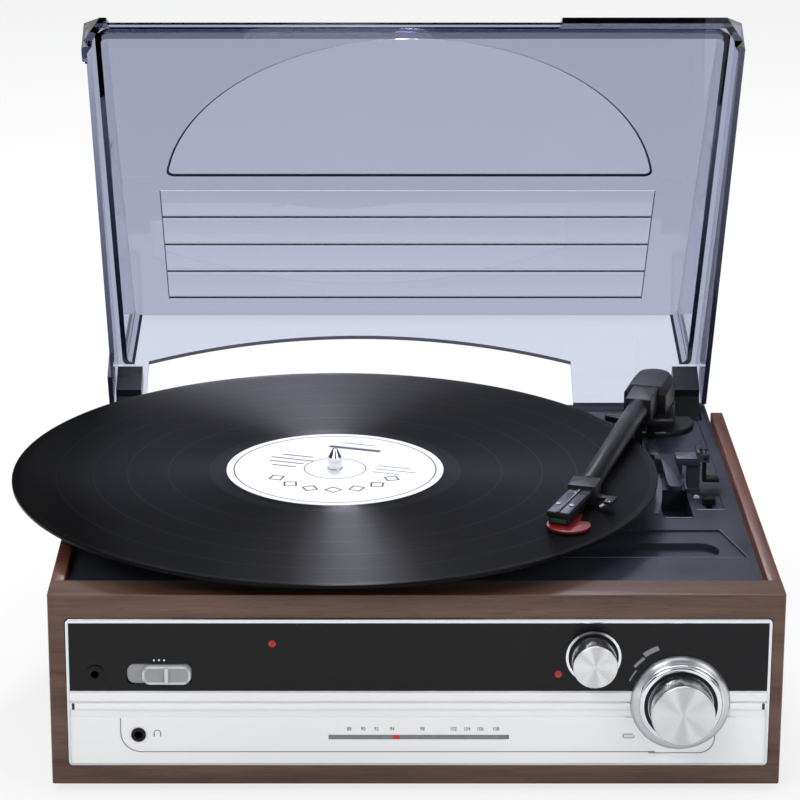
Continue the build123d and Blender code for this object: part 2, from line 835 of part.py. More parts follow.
with BuildPart() as tonearm_tube:
    with Locations(arm_plane):
        with Locations(Location((0, -(housing_front + shell_start) / 2, 0), (90, 0, 0))):
            Cylinder(tube_radius, shell_start - housing_front)
tonearm_tube.part.label = "tonearm_tube"
export_step(tonearm_tube.part, "parts/tonearm_tube.step")

shell_plane = Plane(
    origin=arm_plane.from_local_coords((shell_shift, -shell_start - shell_neck_length, 0)),
    x_dir=arm_plane.x_dir.rotate(Axis.Z, -shell_turn),
    z_dir=(0, 0, 1),
)
shell_bottom = arm_height + shell_rise
shell_top = shell_bottom + shell_thick
cartridge_bottom = shell_bottom - cartridge_height


def shell_slab(x, y, z, mode=Mode.ADD):
    """A box in the headshell's own frame; z is a height above the origin."""
    with Locations(shell_plane):
        slab(x, y, (z[0] - arm_height, z[1] - arm_height), mode)


with BuildPart() as headshell:
    neck_x = shell_shift / 2
    arm_slab(
        (neck_x - shell_neck_width / 2, neck_x + shell_neck_width / 2),
        (-shell_start - shell_neck_length, -shell_start),
        (arm_height - shell_neck_height / 2, arm_height + shell_neck_height / 2),
    )
    shell_slab((-shell_width / 2, shell_width / 2), (-shell_length, shell_lap), (shell_bottom, shell_top))
    shell_slab(
        (-shell_ridge_width / 2, shell_ridge_width / 2),
        (-shell_length, shell_lap),
        (shell_top, shell_top + shell_ridge),
    )
    # The finger lift is low enough to pass under the shut lid's ledge.
    lift_z = (arm_height - lift_drop - lift_thick, arm_height - lift_drop)
    shell_slab((0, lift_reach), (lift_back - lift_width, lift_back), lift_z)
    shell_slab((lift_reach - lift_width, lift_reach), (lift_back - lift_leg, lift_back), lift_z)
headshell.part.label = "headshell"
export_step(headshell.part, "parts/headshell.step")

cartridge_front = cartridge_inset - shell_length
with BuildPart() as cartridge:
    shell_slab(
        (-cartridge_width / 2, cartridge_width / 2),
        (cartridge_front, cartridge_front + cartridge_length),
        (cartridge_bottom, shell_bottom),
    )
cartridge.part.label = "cartridge"
export_step(cartridge.part, "parts/cartridge.step")

with BuildPart() as stylus:
    with BuildSketch(arm_plane.offset(stylus_bottom - arm_height)):
        with Locations((0, stylus_centre - arm_length)):
            Circle(stylus_radius)
        with Locations((0, stylus_length - arm_length)):
            Rectangle(3 * stylus_radius, stylus_length, mode=Mode.SUBTRACT)
        with Locations((shell_shift, stylus_length / 2 - arm_length)):
            Rectangle(cartridge_width, stylus_length)
    extrude(amount=stylus_height)
    tip = arm_plane.from_local_coords((0, -arm_length, 0))
    with Locations((tip.X, tip.Y, stylus_bottom - stylus_tip_length / 2)):
        Cone(stylus_tip_radius, stylus_root_radius, stylus_tip_length)
stylus.part.label = "stylus"
export_step(stylus.part, "parts/stylus.step")

# ================================================================ cueing, arm rest and speed switch
pad_top = arm_height - tube_radius - pad_gap
lever_end_y = lever_pivot_y + lever_rear_length
lever_rear = (lever_rear_x - lever_rear_width / 2 + 0.5, lever_rear_x + lever_rear_width / 2 + 0.5)
pad_foot_z = lever_top + lever_gap

with BuildPart() as cue_lever:
    with BuildSketch(Plane.XY.offset(lever_bottom)):
        with BuildLine():
            nose_y = lever_front_y + lever_width / 2
            Polyline(
                (lever_left, nose_y),
                (lever_left, lever_pivot_y + lever_bend),
                (lever_rear[0], lever_pivot_y + 2 * lever_bend),
                (lever_rear[0], lever_end_y),
                (lever_rear[1], lever_end_y),
                (lever_rear[1], lever_pivot_y + 2.5 * lever_bend),
                (lever_right, lever_pivot_y + lever_bend),
                (lever_right, nose_y),
            )
            ThreePointArc((lever_right, nose_y), (lever_x, lever_front_y), (lever_left, nose_y))
        make_face()
    extrude(amount=lever_thick)
    rod((lever_pivot_y, lever_pivot_z), lever_pin, lever_pin_radius)
cue_lever.part.label = "cue_lever"
export_step(cue_lever.part, "parts/cue_lever.step")

with BuildPart() as cue_pad:
    with BuildSketch(Plane.XY.offset(pad_top - pad_thick)):
        with BuildLine():
            sweep_from = 270 - pad_end
            sweep = pad_end - pad_start
            inner_arc = CenterArc(pivot_at, pad_radius - pad_width / 2, sweep_from, sweep)
            outer_arc = CenterArc(pivot_at, pad_radius + pad_width / 2, sweep_from, sweep)
            Line(inner_arc @ 0, outer_arc @ 0)
            Line(inner_arc @ 1, outer_arc @ 1)
        make_face()
    extrude(amount=pad_thick)
    slab(
        (lever_rear[0] + pad_foot_inset, lever_rear[1] - pad_foot_inset),
        (lever_end_y - pad_foot_length, lever_end_y - pad_foot_inset),
        (pad_foot_z, pad_top - pad_thick),
    )
    post((pad_post_x, pad_post_y), (deck_under - pad_post_length, pad_top - pad_thick), pad_post_radius)
cue_pad.part.label = "cue_pad"
export_step(cue_pad.part, "parts/cue_pad.step")

parked = math.radians(arm_angle - park_angle)
parked_x = pivot_x - (pivot_y - rest_y) * math.tan(parked)
cradle_top = arm_height - tube_radius - clear
rest_wall_x = parked_x + tube_radius / math.cos(parked) + rest_depth / 2 * abs(math.tan(parked)) + clear
rest_right_x = rest_wall_x + rest_wall_thick
clip_x = rest_right_x + clip_knuckle_radius + clear
clip_z = cradle_top
rest_span = (rest_y - rest_depth / 2, rest_y + rest_depth / 2)
clip_span = (rest_span[0] + rest_ear + clear, rest_span[1] - rest_ear - clear)
clip_reach = arm_height + tube_radius + 2 * clear - clip_z
post_span = (rest_y - rest_post_depth / 2, rest_y + rest_post_depth / 2)

with BuildPart() as arm_rest:
    slab((rest_post_x - 1, rest_right_x), rest_span, (deck_top, deck_top + rest_foot_thick))
    slab((rest_post_x, rest_right_x), post_span, (deck_top, cradle_top))
    slab((rest_left_x, rest_right_x), rest_span, (cradle_top - rest_plate_thick, cradle_top))
    slab((rest_wall_x, rest_right_x), rest_span, (cradle_top, cradle_top + rest_wall_rise))
    for y in ((rest_span[0], rest_span[0] + rest_ear), (rest_span[1] - rest_ear, rest_span[1])):
        ear_z = (clip_z - clip_knuckle_radius, clip_z + clip_knuckle_radius)
        slab((rest_right_x, clip_x + clip_knuckle_radius), y, ear_z)
    barrel((clip_x, clip_z), rest_span, clip_pin_radius + shaft_fit, Mode.SUBTRACT)
arm_rest.part.label = "arm_rest"
export_step(arm_rest.part, "parts/arm_rest.step")

# The clip hangs open beside the rest; turned half round it hooks over the parked tube.
with BuildPart() as arm_clip:
    barrel((clip_x, clip_z), clip_span, clip_knuckle_radius)
    barrel((clip_x, clip_z), rest_span, clip_pin_radius)
    slab((clip_x - clip_thick / 2, clip_x + clip_thick / 2), clip_span, (clip_z - clip_reach, clip_z))
    slab(
        (clip_x - clip_thick / 2, clip_x + clip_hook),
        clip_span,
        (clip_z - clip_reach - clip_thick, clip_z - clip_reach),
    )
arm_clip.part.label = "arm_clip"
export_step(arm_clip.part, "parts/arm_clip.step")

speed_stem = speed_slot_width - 2 * clear
speed_floor = deck_top - recess_depth
with BuildPart() as speed_selector:
    slab(
        (speed_x - speed_knob_width / 2, speed_x + speed_knob_width / 2),
        (speed_y - speed_knob_length / 2, speed_y + speed_knob_length / 2),
        (speed_floor + face_gap, deck_top + speed_knob_rise),
    )
    chamfer(speed_selector.edges().group_by(Axis.Z)[-1], length=speed_knob_bevel)
    slab(
        (speed_x - speed_stem / 2, speed_x + speed_stem / 2),
        (speed_y - speed_stem / 2, speed_y + speed_stem / 2),
        (deck_under - speed_stem_length, speed_floor + face_gap),
    )
speed_selector.part.label = "speed_selector"
export_step(speed_selector.part, "parts/speed_selector.step")

with BuildPart() as speed_switch:
    slab(
        (speed_x - speed_switch_width / 2, speed_x + speed_switch_width / 2),
        (speed_y - speed_switch_length / 2, speed_y + speed_switch_length / 2),
        (deck_under - speed_switch_height, deck_under),
    )
    slab(
        (speed_x - speed_slot_width / 2, speed_x + speed_slot_width / 2),
        (speed_y - speed_slot_half, speed_y + speed_slot_half),
        (deck_under - speed_stem_length - 1, deck_under),
        Mode.SUBTRACT,
    )
speed_switch.part.label = "speed_switch"
export_step(speed_switch.part, "parts/speed_switch.step")

# ================================================================ fascia
trim_left = window_left + face_gap
trim_right = window_right - face_gap
trim_floor = window_bottom + face_gap
trim_roof = window_top - face_gap
panel_left = trim_left + trim_side
panel_right = trim_right - trim_side
panel_floor = trim_floor + trim_bottom
panel_roof = trim_roof - trim_top
panel_width = panel_right - panel_left
panel_x = (panel_left + panel_right) / 2
tuning_at = (tuning_x, tuning_z)
volume_at = (volume_x, volume_z)
selector_mid_x = (selector_left + selector_right) / 2
selector_mid_z = (selector_bottom + selector_top) / 2
selector_stem_x = selector_right - selector_gap - selector_knob_width / 2
cord_slot = (selector_stem_x - selector_travel - 2, selector_stem_x + 2)
cord_slot_z = (selector_mid_z - cord_slot_half_height, selector_mid_z + cord_slot_half_height)
dial_slot_z = (dial_z - dial_height / 2, dial_z + dial_height / 2)
fixed_holes = (
    (aux_x, aux_z, jack_body_radius),
    (phones_x, phones_z, jack_body_radius),
    (power_led_x, power_led_z, led_radius),
    (radio_led_x, radio_led_z, led_radius),
)


def fascia_plate(bottom, top, front, thick):
    """A flat piece across the fascia between two heights, its face at y = front."""
    with BuildSketch(facing(front)) as outline:
        with Locations((panel_x, (bottom + top) / 2)):
            Rectangle(panel_width, top - bottom)
    extrude(outline.sketch, amount=-thick)


def bore_fixed_holes(y):
    """The holes of the sockets and lamps through whatever lies between two depths."""
    for x, z, radius in fixed_holes:
        barrel((x, z), y, radius + shaft_fit, Mode.SUBTRACT)


with BuildPart() as fascia_trim:
    with BuildSketch(facing(panel_y - trim_proud)):
        with Locations((window_x, window_z)):
            RectangleRounded(trim_right - trim_left, trim_roof - trim_floor, window_round)
        with Locations((panel_x, (panel_floor + panel_roof) / 2)):
            Rectangle(panel_width, panel_roof - panel_floor, mode=Mode.SUBTRACT)
    extrude(amount=-(panel_thick + trim_proud))
fascia_trim.part.label = "fascia_trim"
export_step(fascia_trim.part, "parts/fascia_trim.step")

with BuildPart() as upper_panel:
    fascia_plate(rail_top, panel_roof, panel_y, panel_thick)
    with BuildSketch(facing(panel_y)):
        with Locations((selector_mid_x, selector_mid_z)):
            RectangleRounded(selector_right - selector_left, selector_top - selector_bottom, selector_corner)
    extrude(amount=-selector_depth, mode=Mode.SUBTRACT)
    slab(cord_slot, (panel_y, plate_front_y), cord_slot_z, Mode.SUBTRACT)
    bore_fixed_holes((panel_y, plate_front_y))
    barrel(tuning_at, (panel_y, plate_front_y), tuning_bezel_radius + shaft_fit, Mode.SUBTRACT)
    barrel(volume_at, (panel_y, plate_front_y), volume_ring_radius + shaft_fit, Mode.SUBTRACT)
upper_panel.part.label = "upper_panel"
export_step(upper_panel.part, "parts/upper_panel.step")

with BuildPart() as fascia_rail:
    fascia_plate(rail_bottom, rail_top, panel_y, panel_thick)
    rib_y = panel_y - rail_proud
    low_rib_top = rail_split - rib_half_gap
    fascia_plate(rail_split + rib_half_gap, rail_top - rib_edge, rib_y, rail_proud)
    fascia_plate(low_rib_top - rib_low_height, low_rib_top, rib_y, rail_proud)
    barrel(volume_at, (rib_y, plate_front_y), volume_ring_radius + shaft_fit, Mode.SUBTRACT)
fascia_rail.part.label = "fascia_rail"
export_step(fascia_rail.part, "parts/fascia_rail.step")

with BuildPart() as lower_panel:
    fascia_plate(panel_floor, rail_bottom, panel_y, panel_thick)
    with BuildSketch(facing(panel_y)):
        with Locations(volume_at):
            Circle(volume_ring_radius + volume_collar)
        with Locations((volume_x, rail_bottom + volume_z)):
            Rectangle(4 * volume_ring_radius, 2 * volume_z, mode=Mode.SUBTRACT)
    extrude(amount=rail_proud)
    slab((dial_left, dial_right), (panel_y, plate_front_y), dial_slot_z, Mode.SUBTRACT)
    bore_fixed_holes((panel_y, plate_front_y))
    barrel(volume_at, (rib_y, plate_front_y), volume_ring_radius + shaft_fit, Mode.SUBTRACT)
lower_panel.part.label = "lower_panel"
export_step(lower_panel.part, "parts/lower_panel.step")

with BuildPart() as dial_window:
    slab(
        (dial_left + shaft_fit, dial_right - shaft_fit),
        (panel_y + face_gap, panel_y + face_gap + dial_glass_thick),
        (dial_slot_z[0] + shaft_fit, dial_slot_z[1] - shaft_fit),
    )
dial_window.part.label = "dial_window"
export_step(dial_window.part, "parts/dial_window.step")

with BuildPart() as fascia_frame:
    slab((panel_left, panel_right), (plate_front_y, plate_back_y), (trim_floor, trim_roof))
    for z in ((trim_floor, trim_floor + trim_top), (trim_roof - trim_top, trim_roof)):
        slab((panel_left, panel_right), (plate_back_y, front_inner_y), z)
    flange_x = inner_x - block_size - face_gap
    flange_y = (front_inner_y, front_inner_y + flange_thick)
    slab((-flange_x, flange_x), flange_y, (window_bottom - flange_reach, trim_floor + trim_top))
    slab((-flange_x, flange_x), flange_y, (trim_roof - trim_top, window_top + flange_reach))
    bore_fixed_holes((plate_front_y, plate_back_y))
    for at in (tuning_at, volume_at):
        barrel(at, (plate_front_y, plate_back_y), knob_shaft_radius + clear, Mode.SUBTRACT)
    slab(cord_slot, (plate_front_y, plate_back_y), cord_slot_z, Mode.SUBTRACT)
    slab((dial_left, dial_right), (plate_front_y, plate_back_y), dial_slot_z, Mode.SUBTRACT)
fascia_frame.part.label = "fascia_frame"
export_step(fascia_frame.part, "parts/fascia_frame.step")


def jack(at, ring_radius):
    """A socket for a 3.5 mm plug: a ring in front, a body through the panel, a blind bore."""
    mouth_y = panel_y - jack_proud
    bore_y = (mouth_y, mouth_y + jack_depth)
    barrel(at, (mouth_y, panel_y), ring_radius)
    barrel(at, (panel_y, plate_back_y), jack_body_radius)
    slab(
        (at[0] - jack_block_half_width, at[0] + jack_block_half_width),
        (plate_back_y, plate_back_y + jack_block_depth),
        (at[1] - jack_block_half_height, at[1] + jack_block_half_height),
    )
    barrel(at, bore_y, jack_bore_radius, Mode.SUBTRACT)


def lamp(at):
    """A lamp pushed through the fascia from behind, up to its flange."""
    barrel(at, (panel_y - led_proud, plate_back_y), led_radius)
    barrel(at, (plate_back_y, plate_back_y + 1), led_radius + led_flange)


with BuildPart() as aux_socket:
    jack((aux_x, aux_z), socket_radius)
aux_socket.part.label = "aux_socket"
export_step(aux_socket.part, "parts/aux_socket.step")

with BuildPart() as headphone_socket:
    jack((phones_x, phones_z), phones_ring_radius)
headphone_socket.part.label = "headphone_socket"
export_step(headphone_socket.part, "parts/headphone_socket.step")

with BuildPart() as power_led:
    lamp((power_led_x, power_led_z))
power_led.part.label = "power_led"
export_step(power_led.part, "parts/power_led.step")

with BuildPart() as radio_led:
    lamp((radio_led_x, radio_led_z))
radio_led.part.label = "radio_led"
export_step(radio_led.part, "parts/radio_led.step")

with BuildPart() as tuning_bezel:
    bezel_y = (panel_y - tuning_bezel_proud, plate_front_y)
    barrel(tuning_at, bezel_y, tuning_bezel_radius)
    barrel(tuning_at, bezel_y, tuning_knob_radius + clear, Mode.SUBTRACT)
tuning_bezel.part.label = "tuning_bezel"
export_step(tuning_bezel.part, "parts/tuning_bezel.step")

with BuildPart() as volume_bezel:
    step_y = panel_y - volume_step_proud
    barrel(volume_at, (panel_y - volume_ring_proud, plate_front_y), volume_ring_radius)
    barrel(volume_at, (step_y, panel_y - volume_ring_proud), volume_step_radius)
    barrel(volume_at, (step_y, plate_front_y), volume_knob_radius + clear, Mode.SUBTRACT)
volume_bezel.part.label = "volume_bezel"
export_step(volume_bezel.part, "parts/volume_bezel.step")

drum_front_y = plate_back_y + drum_gap
drum_back_y = drum_front_y + drum_length
capacitor_front_y = drum_back_y + drum_gap
shaft_end_y = capacitor_front_y + knob_shaft_grip
with BuildPart() as tuning_knob:
    barrel(tuning_at, (panel_y - tuning_knob_reach, plate_front_y - clear), tuning_knob_radius)
    fillet(tuning_knob.edges().group_by(Axis.Y)[0], radius=tuning_knob_round)
    barrel(tuning_at, (plate_front_y - clear, shaft_end_y), knob_shaft_radius)
tuning_knob.part.label = "tuning_knob"
export_step(tuning_knob.part, "parts/tuning_knob.step")

with BuildPart() as tuning_drum:
    groove_y = (drum_front_y + drum_flange, drum_back_y - drum_flange)
    barrel(tuning_at, (drum_front_y, drum_back_y), drum_radius + drum_flange)
    barrel(tuning_at, groove_y, drum_radius + drum_flange, Mode.SUBTRACT)
    barrel(tuning_at, groove_y, drum_radius)
    barrel(tuning_at, (drum_front_y, drum_back_y), knob_shaft_radius, Mode.SUBTRACT)
tuning_drum.part.label = "tuning_drum"
export_step(tuning_drum.part, "parts/tuning_drum.step")

with BuildPart() as tuning_capacitor:
    left = tuning_x - capacitor_half_width
    right = tuning_x + capacitor_half_width
    tall = (tuning_z - capacitor_half_height, tuning_z + capacitor_half_height)
    slab((left, right), (capacitor_front_y, capacitor_front_y + capacitor_depth), tall)
    for x in ((left, left + capacitor_ear), (right - capacitor_ear, right)):
        slab(x, (plate_back_y, capacitor_front_y), tall)
    barrel(tuning_at, (capacitor_front_y, shaft_end_y + 1), knob_shaft_radius + shaft_fit, Mode.SUBTRACT)
tuning_capacitor.part.label = "tuning_capacitor"
export_step(tuning_capacitor.part, "parts/tuning_capacitor.step")

pot_back_y = plate_back_y + volume_pot_length
pot_shaft_y = plate_back_y + knob_shaft_grip
with BuildPart() as volume_knob:
    barrel(volume_at, (panel_y - volume_knob_reach, plate_front_y - clear), volume_knob_radius)
    fillet(volume_knob.edges().group_by(Axis.Y)[0], radius=volume_knob_round)
    barrel(volume_at, (plate_front_y - clear, pot_shaft_y), knob_shaft_radius)
volume_knob.part.label = "volume_knob"
export_step(volume_knob.part, "parts/volume_knob.step")

with BuildPart() as volume_pot:
    barrel(volume_at, (plate_back_y, pot_back_y), volume_pot_radius)
    barrel(volume_at, (plate_back_y, pot_shaft_y + 1), knob_shaft_radius + shaft_fit, Mode.SUBTRACT)
volume_pot.part.label = "volume_pot"
export_step(volume_pot.part, "parts/volume_pot.step")

knob_half_height = (selector_top - selector_bottom) / 2 - selector_gap
knob_back_y = panel_y + selector_depth - face_gap
with BuildPart() as function_selector:
    knob_front_y = panel_y - selector_proud
    ridge_half_height = knob_half_height - 1
    with BuildSketch(facing(knob_front_y)):
        with Locations((selector_stem_x, selector_mid_z)):
            RectangleRounded(selector_knob_width, 2 * knob_half_height, selector_corner - selector_gap)
    extrude(amount=-(selector_proud + selector_depth - face_gap))
    slab(
        (selector_stem_x - selector_ridge_width / 2, selector_stem_x + selector_ridge_width / 2),
        (knob_front_y - selector_ridge_rise, knob_front_y),
        (selector_mid_z - ridge_half_height, selector_mid_z + ridge_half_height),
    )
    slab(
        (selector_stem_x - selector_stem / 2, selector_stem_x + selector_stem / 2),
        (knob_back_y, plate_back_y + selector_stem),
        (selector_mid_z - selector_stem / 2, selector_mid_z + selector_stem / 2),
    )
function_selector.part.label = "function_selector"
export_step(function_selector.part, "parts/function_selector.step")

with BuildPart() as selector_switch:
    slab(
        (cord_slot[0] - selector_stem, cord_slot[1] + selector_stem),
        (plate_back_y, plate_back_y + selector_switch_depth),
        (selector_mid_z - selector_switch_half_height, selector_mid_z + selector_switch_half_height),
    )
    slab(cord_slot, (plate_back_y, plate_back_y + selector_stem + 1), cord_slot_z, Mode.SUBTRACT)
selector_switch.part.label = "selector_switch"
export_step(selector_switch.part, "parts/selector_switch.step")

rod_y = plate_back_y + rail_rod_y
rod_x = (dial_left - rail_end_gap - 1, dial_right + rail_end_gap + 1)
with BuildPart() as pointer_rail:
    rod((rod_y, dial_z), rod_x, rail_rod_radius)
    for x in (dial_left - rail_end_gap - rail_end_thick, dial_right + rail_end_gap):
        slab(
            (x, x + rail_end_thick),
            (plate_back_y, rod_y + rail_rod_radius + 1),
            (dial_z - rail_rod_radius - 2, dial_z + rail_rod_radius + 2),
        )
pointer_rail.part.label = "pointer_rail"
export_step(pointer_rail.part, "parts/pointer_rail.step")

with BuildPart() as dial_pointer:
    block_x = (pointer_x - pointer_block / 2, pointer_x + pointer_block / 2)
    half = 2 * rail_rod_radius
    slab(block_x, (rod_y - half, rod_y + half), (dial_z - half, dial_z + half))
    rod((rod_y, dial_z), block_x, rail_rod_radius + shaft_fit, Mode.SUBTRACT)
    slab(
        (pointer_x - pointer_width / 2, pointer_x + pointer_width / 2),
        (panel_y + face_gap + dial_glass_thick + clear, rod_y - half),
        (dial_z - pointer_width / 2, dial_z + pointer_width / 2),
    )
dial_pointer.part.label = "dial_pointer"
export_step(dial_pointer.part, "parts/dial_pointer.step")

# ================================================================ circuit boards
main_board_x = (-100.0, 20.0)
main_board_y = (-70.0, 50.0)
tuner_board_x = (45.0, 115.0)
tuner_board_y = (-80.0, 0.0)
post_inset = 6.0


def board(x, y):
    """A circuit board on four posts that stand on the base board."""
    slab(x, y, (base_thick + board_height, base_thick + board_height + board_thick))
    for post_x in (x[0] + post_inset, x[1] - post_inset):
        for post_y in (y[0] + post_inset, y[1] - post_inset):
            post((post_x, post_y), (base_thick, base_thick + board_height), board_post_radius)


with BuildPart() as circuit_boards:
    board(main_board_x, main_board_y)
    board(tuner_board_x, tuner_board_y)
circuit_boards.part.label = "circuit_boards"
export_step(circuit_boards.part, "parts/circuit_boards.step")

# ================================================================ lid
tilt = math.radians(lid_open)
hinge_plane = Plane(
    origin=(0, hinge_y, hinge_z),
    x_dir=(1, 0, 0),
    z_dir=(0, math.sin(tilt), math.cos(tilt)),
)
# The lid is drawn shut, as (x, y, z) measured from the hinge, and the plane carries it open.
side_plane = Plane(origin=hinge_plane.origin, x_dir=hinge_plane.y_dir, z_dir=(1, 0, 0))


def shut(y, z):
    """A point of the shut lid's side view, seen from the hinge."""
    return (y - hinge_y, z - hinge_z)


def slanting(front, back):
    """A sketch plane through two points of the side view, its origin at the front one."""
    first = hinge_plane.from_local_coords((0, *shut(*front)))
    second = hinge_plane.from_local_coords((0, *shut(*back)))
    along = second - first
    return Plane(origin=first, x_dir=(1, 0, 0), z_dir=Vector(1, 0, 0).cross(along)), along.length


def profile(points, half):
    """A closed side view, extruded to both sides of the middle."""
    with BuildSketch(side_plane) as outline:
        with BuildLine():
            Polyline(*[shut(*point) for point in points], close=True)
        make_face()
    extrude(outline.sketch, amount=half, both=True)


def plan(inset):
    """Keeps what lies inside the lid's outline seen from above, with its cut front corners."""
    side = lid_half_width - inset
    front = lid_front_y + inset
    back = lid_back_y - inset
    with BuildSketch(hinge_plane.offset(-30)) as outline:
        with BuildLine():
            Polyline(
                (-side, back - hinge_y),
                (-side, front + corner_y - hinge_y),
                (-side + corner_x, front - hinge_y),
                (side - corner_x, front - hinge_y),
                (side, front + corner_y - hinge_y),
                (side, back - hinge_y),
                close=True,
            )
        make_face()
    extrude(outline.sketch, amount=160, mode=Mode.INTERSECT)


def loop(front, back, half):
    """A rounded outline on a slanting plane of the lid."""
    plane, length = slanting(front, back)
    with BuildSketch(plane) as outline:
        with Locations((0, length / 2)):
            Rectangle(2 * half, length)
        fillet(outline.vertices().group_by(Axis.Y)[0], radius=loop_front)
        fillet(outline.vertices().group_by(Axis.Y)[-1], radius=loop_back)
    return outline.sketch


def crown(inset):
    """The raised upper part of the lid, as a pair of outlines to loft between."""
    slope = (ledge_back_z - ledge_front_z) / (lid_back_y - ledge_front_y)
    rise = (panel_back_z - panel_front_z) / (lid_back_y - panel_front_y)
    low_y = ledge_front_y + ledge_width + inset
    high_y = panel_front_y - lid_wall + inset
    back = lid_back_y - inset
    sink = inset + (crown_overlap if inset else 0)
    low = loop(
        (low_y, ledge_front_z + slope * (low_y - ledge_front_y) - sink),
        (back, ledge_front_z + slope * (back - ledge_front_y) - sink),
        lid_half_width - ledge_width - inset,
    )
    lift = lid_wall - inset
    high = loop(
        (high_y, panel_front_z + rise * (high_y - panel_front_y) + lift),
        (back, panel_front_z + rise * (back - panel_front_y) + lift),
        lid_half_width - ledge_width - crown_lean - inset,
    )
    return [low, high]


ledge_outer = [
    (lid_front_y, lid_front_rim_z),
    (ledge_front_y, ledge_front_z),
    (lid_back_y, ledge_back_z),
    (lid_back_y, lid_back_rim_z),
    (lid_back_y - lid_wall, lid_back_rim_z),
    (lid_back_y - 8, lid_side_rim_z),
    (rim_step_y, lid_side_rim_z),
    (rim_step_y, lid_front_rim_z),
]
skirt_reach = lid_wall * math.sqrt(2)
ledge_inner = [
    (lid_front_y + skirt_reach, lid_side_rim_z - 5),
    (lid_front_y + skirt_reach, lid_front_rim_z),
    (ledge_front_y + 0.4 * lid_wall, ledge_front_z - lid_wall),
    (lid_back_y - lid_wall, ledge_back_z - lid_wall),
    (lid_back_y - lid_wall, lid_side_rim_z - 5),
]

with BuildPart() as lid_shape:
    profile(ledge_outer, lid_half_width)
    plan(0)
    loft(crown(0), ruled=True)

with BuildPart() as lid_hollow:
    profile(ledge_inner, lid_half_width)
    plan(lid_wall)
    loft(crown(lid_wall), ruled=True)

# Slots in the skirt let the record reach out past the shut lid.
side_slot = (spindle_y - slot_half_length, spindle_y + slot_half_length)
side_slot_top = record_top + slot_clear + 0.4
front_slot_top = record_top + slot_clear
back_slot = (-134.0, 85.0)

with BuildPart() as lid:
    add(lid_shape.part)
    add(lid_hollow.part, mode=Mode.SUBTRACT)
    with BuildSketch(side_plane.offset(-lid_half_width - 1)):
        with BuildLine():
            Polyline(
                shut(side_slot[0], lid_side_rim_z - 1),
                shut(side_slot[0], side_slot_top),
                shut(side_slot[1], side_slot_top),
                shut(side_slot[1], lid_side_rim_z - 1),
                close=True,
            )
        make_face()
    extrude(amount=ledge_width + lid_wall, mode=Mode.SUBTRACT)
    with BuildSketch(hinge_plane.offset(lid_front_rim_z - 1 - hinge_z)):
        with Locations((spindle_x, ledge_front_y - hinge_y)):
            Rectangle(2 * slot_half_width, 2 * (ledge_front_y - lid_front_y))
    extrude(amount=front_slot_top - lid_front_rim_z + 1, mode=Mode.SUBTRACT)
    back_plane = Plane(
        origin=hinge_plane.from_local_coords((0, lid_back_y + 1 - hinge_y, 0)),
        x_dir=(1, 0, 0),
        z_dir=-hinge_plane.y_dir,
    )
    with BuildSketch(back_plane):
        with BuildLine():
            ends = [(x, back_slot_end_z - hinge_z) for x in back_slot]
            low_ends = [(x, lid_back_rim_z - 1 - hinge_z) for x in back_slot]
            Polyline(ends[0], *low_ends, ends[1])
            ThreePointArc(ends[1], (sum(back_slot) / 2, back_slot_peak_z - hinge_z), ends[0])
        make_face()
    extrude(amount=lid_wall + 2, mode=Mode.SUBTRACT)
lid.part.label = "lid"
export_step(lid.part, "parts/lid.step")

# ================================================================ lid hinges
leaf_back_y = lid_back_y - lid_wall
leaf_outline = [
    (leaf_back_y - leaf_thick, lid_back_rim_z + leaf_height),
    (leaf_back_y - leaf_thick, lid_back_rim_z),
    (leaf_back_y - 5.5, lid_back_rim_z - 1.0),
    (hinge_y - 4.0, hinge_z + 2.5),
    (hinge_y + 3.0, hinge_z + 2.5),
    (hinge_y + 1.5, lid_back_rim_z - clear),
    (leaf_back_y, lid_back_rim_z - clear),
    (leaf_back_y, lid_back_rim_z + leaf_height),
]
with BuildPart() as lid_hinges:
    for side in (-1, 1):
        low, high = sorted((side * knuckle_left, side * knuckle_right))
        with BuildSketch(side_plane.offset(low)):
            with BuildLine():
                Polyline(*[shut(*point) for point in leaf_outline], close=True)
            make_face()
            Circle(knuckle_radius)
            Circle(hinge_pin_radius + shaft_fit, mode=Mode.SUBTRACT)
        extrude(amount=high - low)
lid_hinges.part.label = "lid_hinges"
export_step(lid_hinges.part, "parts/lid_hinges.step")

bracket_low_z = hinge_z - knuckle_radius - clear
ear_span = (hinge_y - hinge_ear_half_depth, hinge_y + hinge_ear_half_depth)
with BuildPart() as hinge_brackets:
    for side in (-1, 1):
        inner = knuckle_left - clear
        outer = knuckle_right + clear
        for ear in ((inner - hinge_ear, inner), (outer, outer + hinge_ear)):
            slab(sorted(side * x for x in ear), ear_span, (bracket_low_z, deck_under))
        ends = sorted((side * (inner - hinge_ear), side * (outer + hinge_ear)))
        slab(ends, ear_span, (bracket_low_z - hinge_plate_thick, bracket_low_z))
        flange = sorted((side * (inner - hinge_ear - hinge_flange), side * inner))
        slab(flange, ear_span, (deck_under - hinge_plate_thick, deck_under))
        rod((hinge_y, hinge_z), ends, hinge_pin_radius, Mode.SUBTRACT)
hinge_brackets.part.label = "hinge_brackets"
export_step(hinge_brackets.part, "parts/hinge_brackets.step")

with BuildPart() as hinge_pins:
    for side in (-1, 1):
        ends = (knuckle_left - clear - hinge_ear, knuckle_right + clear + hinge_ear)
        rod((hinge_y, hinge_z), sorted(side * x for x in ends), hinge_pin_radius)
hinge_pins.part.label = "hinge_pins"
export_step(hinge_pins.part, "parts/hinge_pins.step")
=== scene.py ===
# %% [markdown]
# # A stereo music centre
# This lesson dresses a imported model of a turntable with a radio. The solids already stand in
# the right places, so the work here is shape detail, finish and light. Everything is in metres,
# X to the right, Y to the back and Z up, with the origin under the middle of the cabinet.

# %% Load the frame
import json
import math

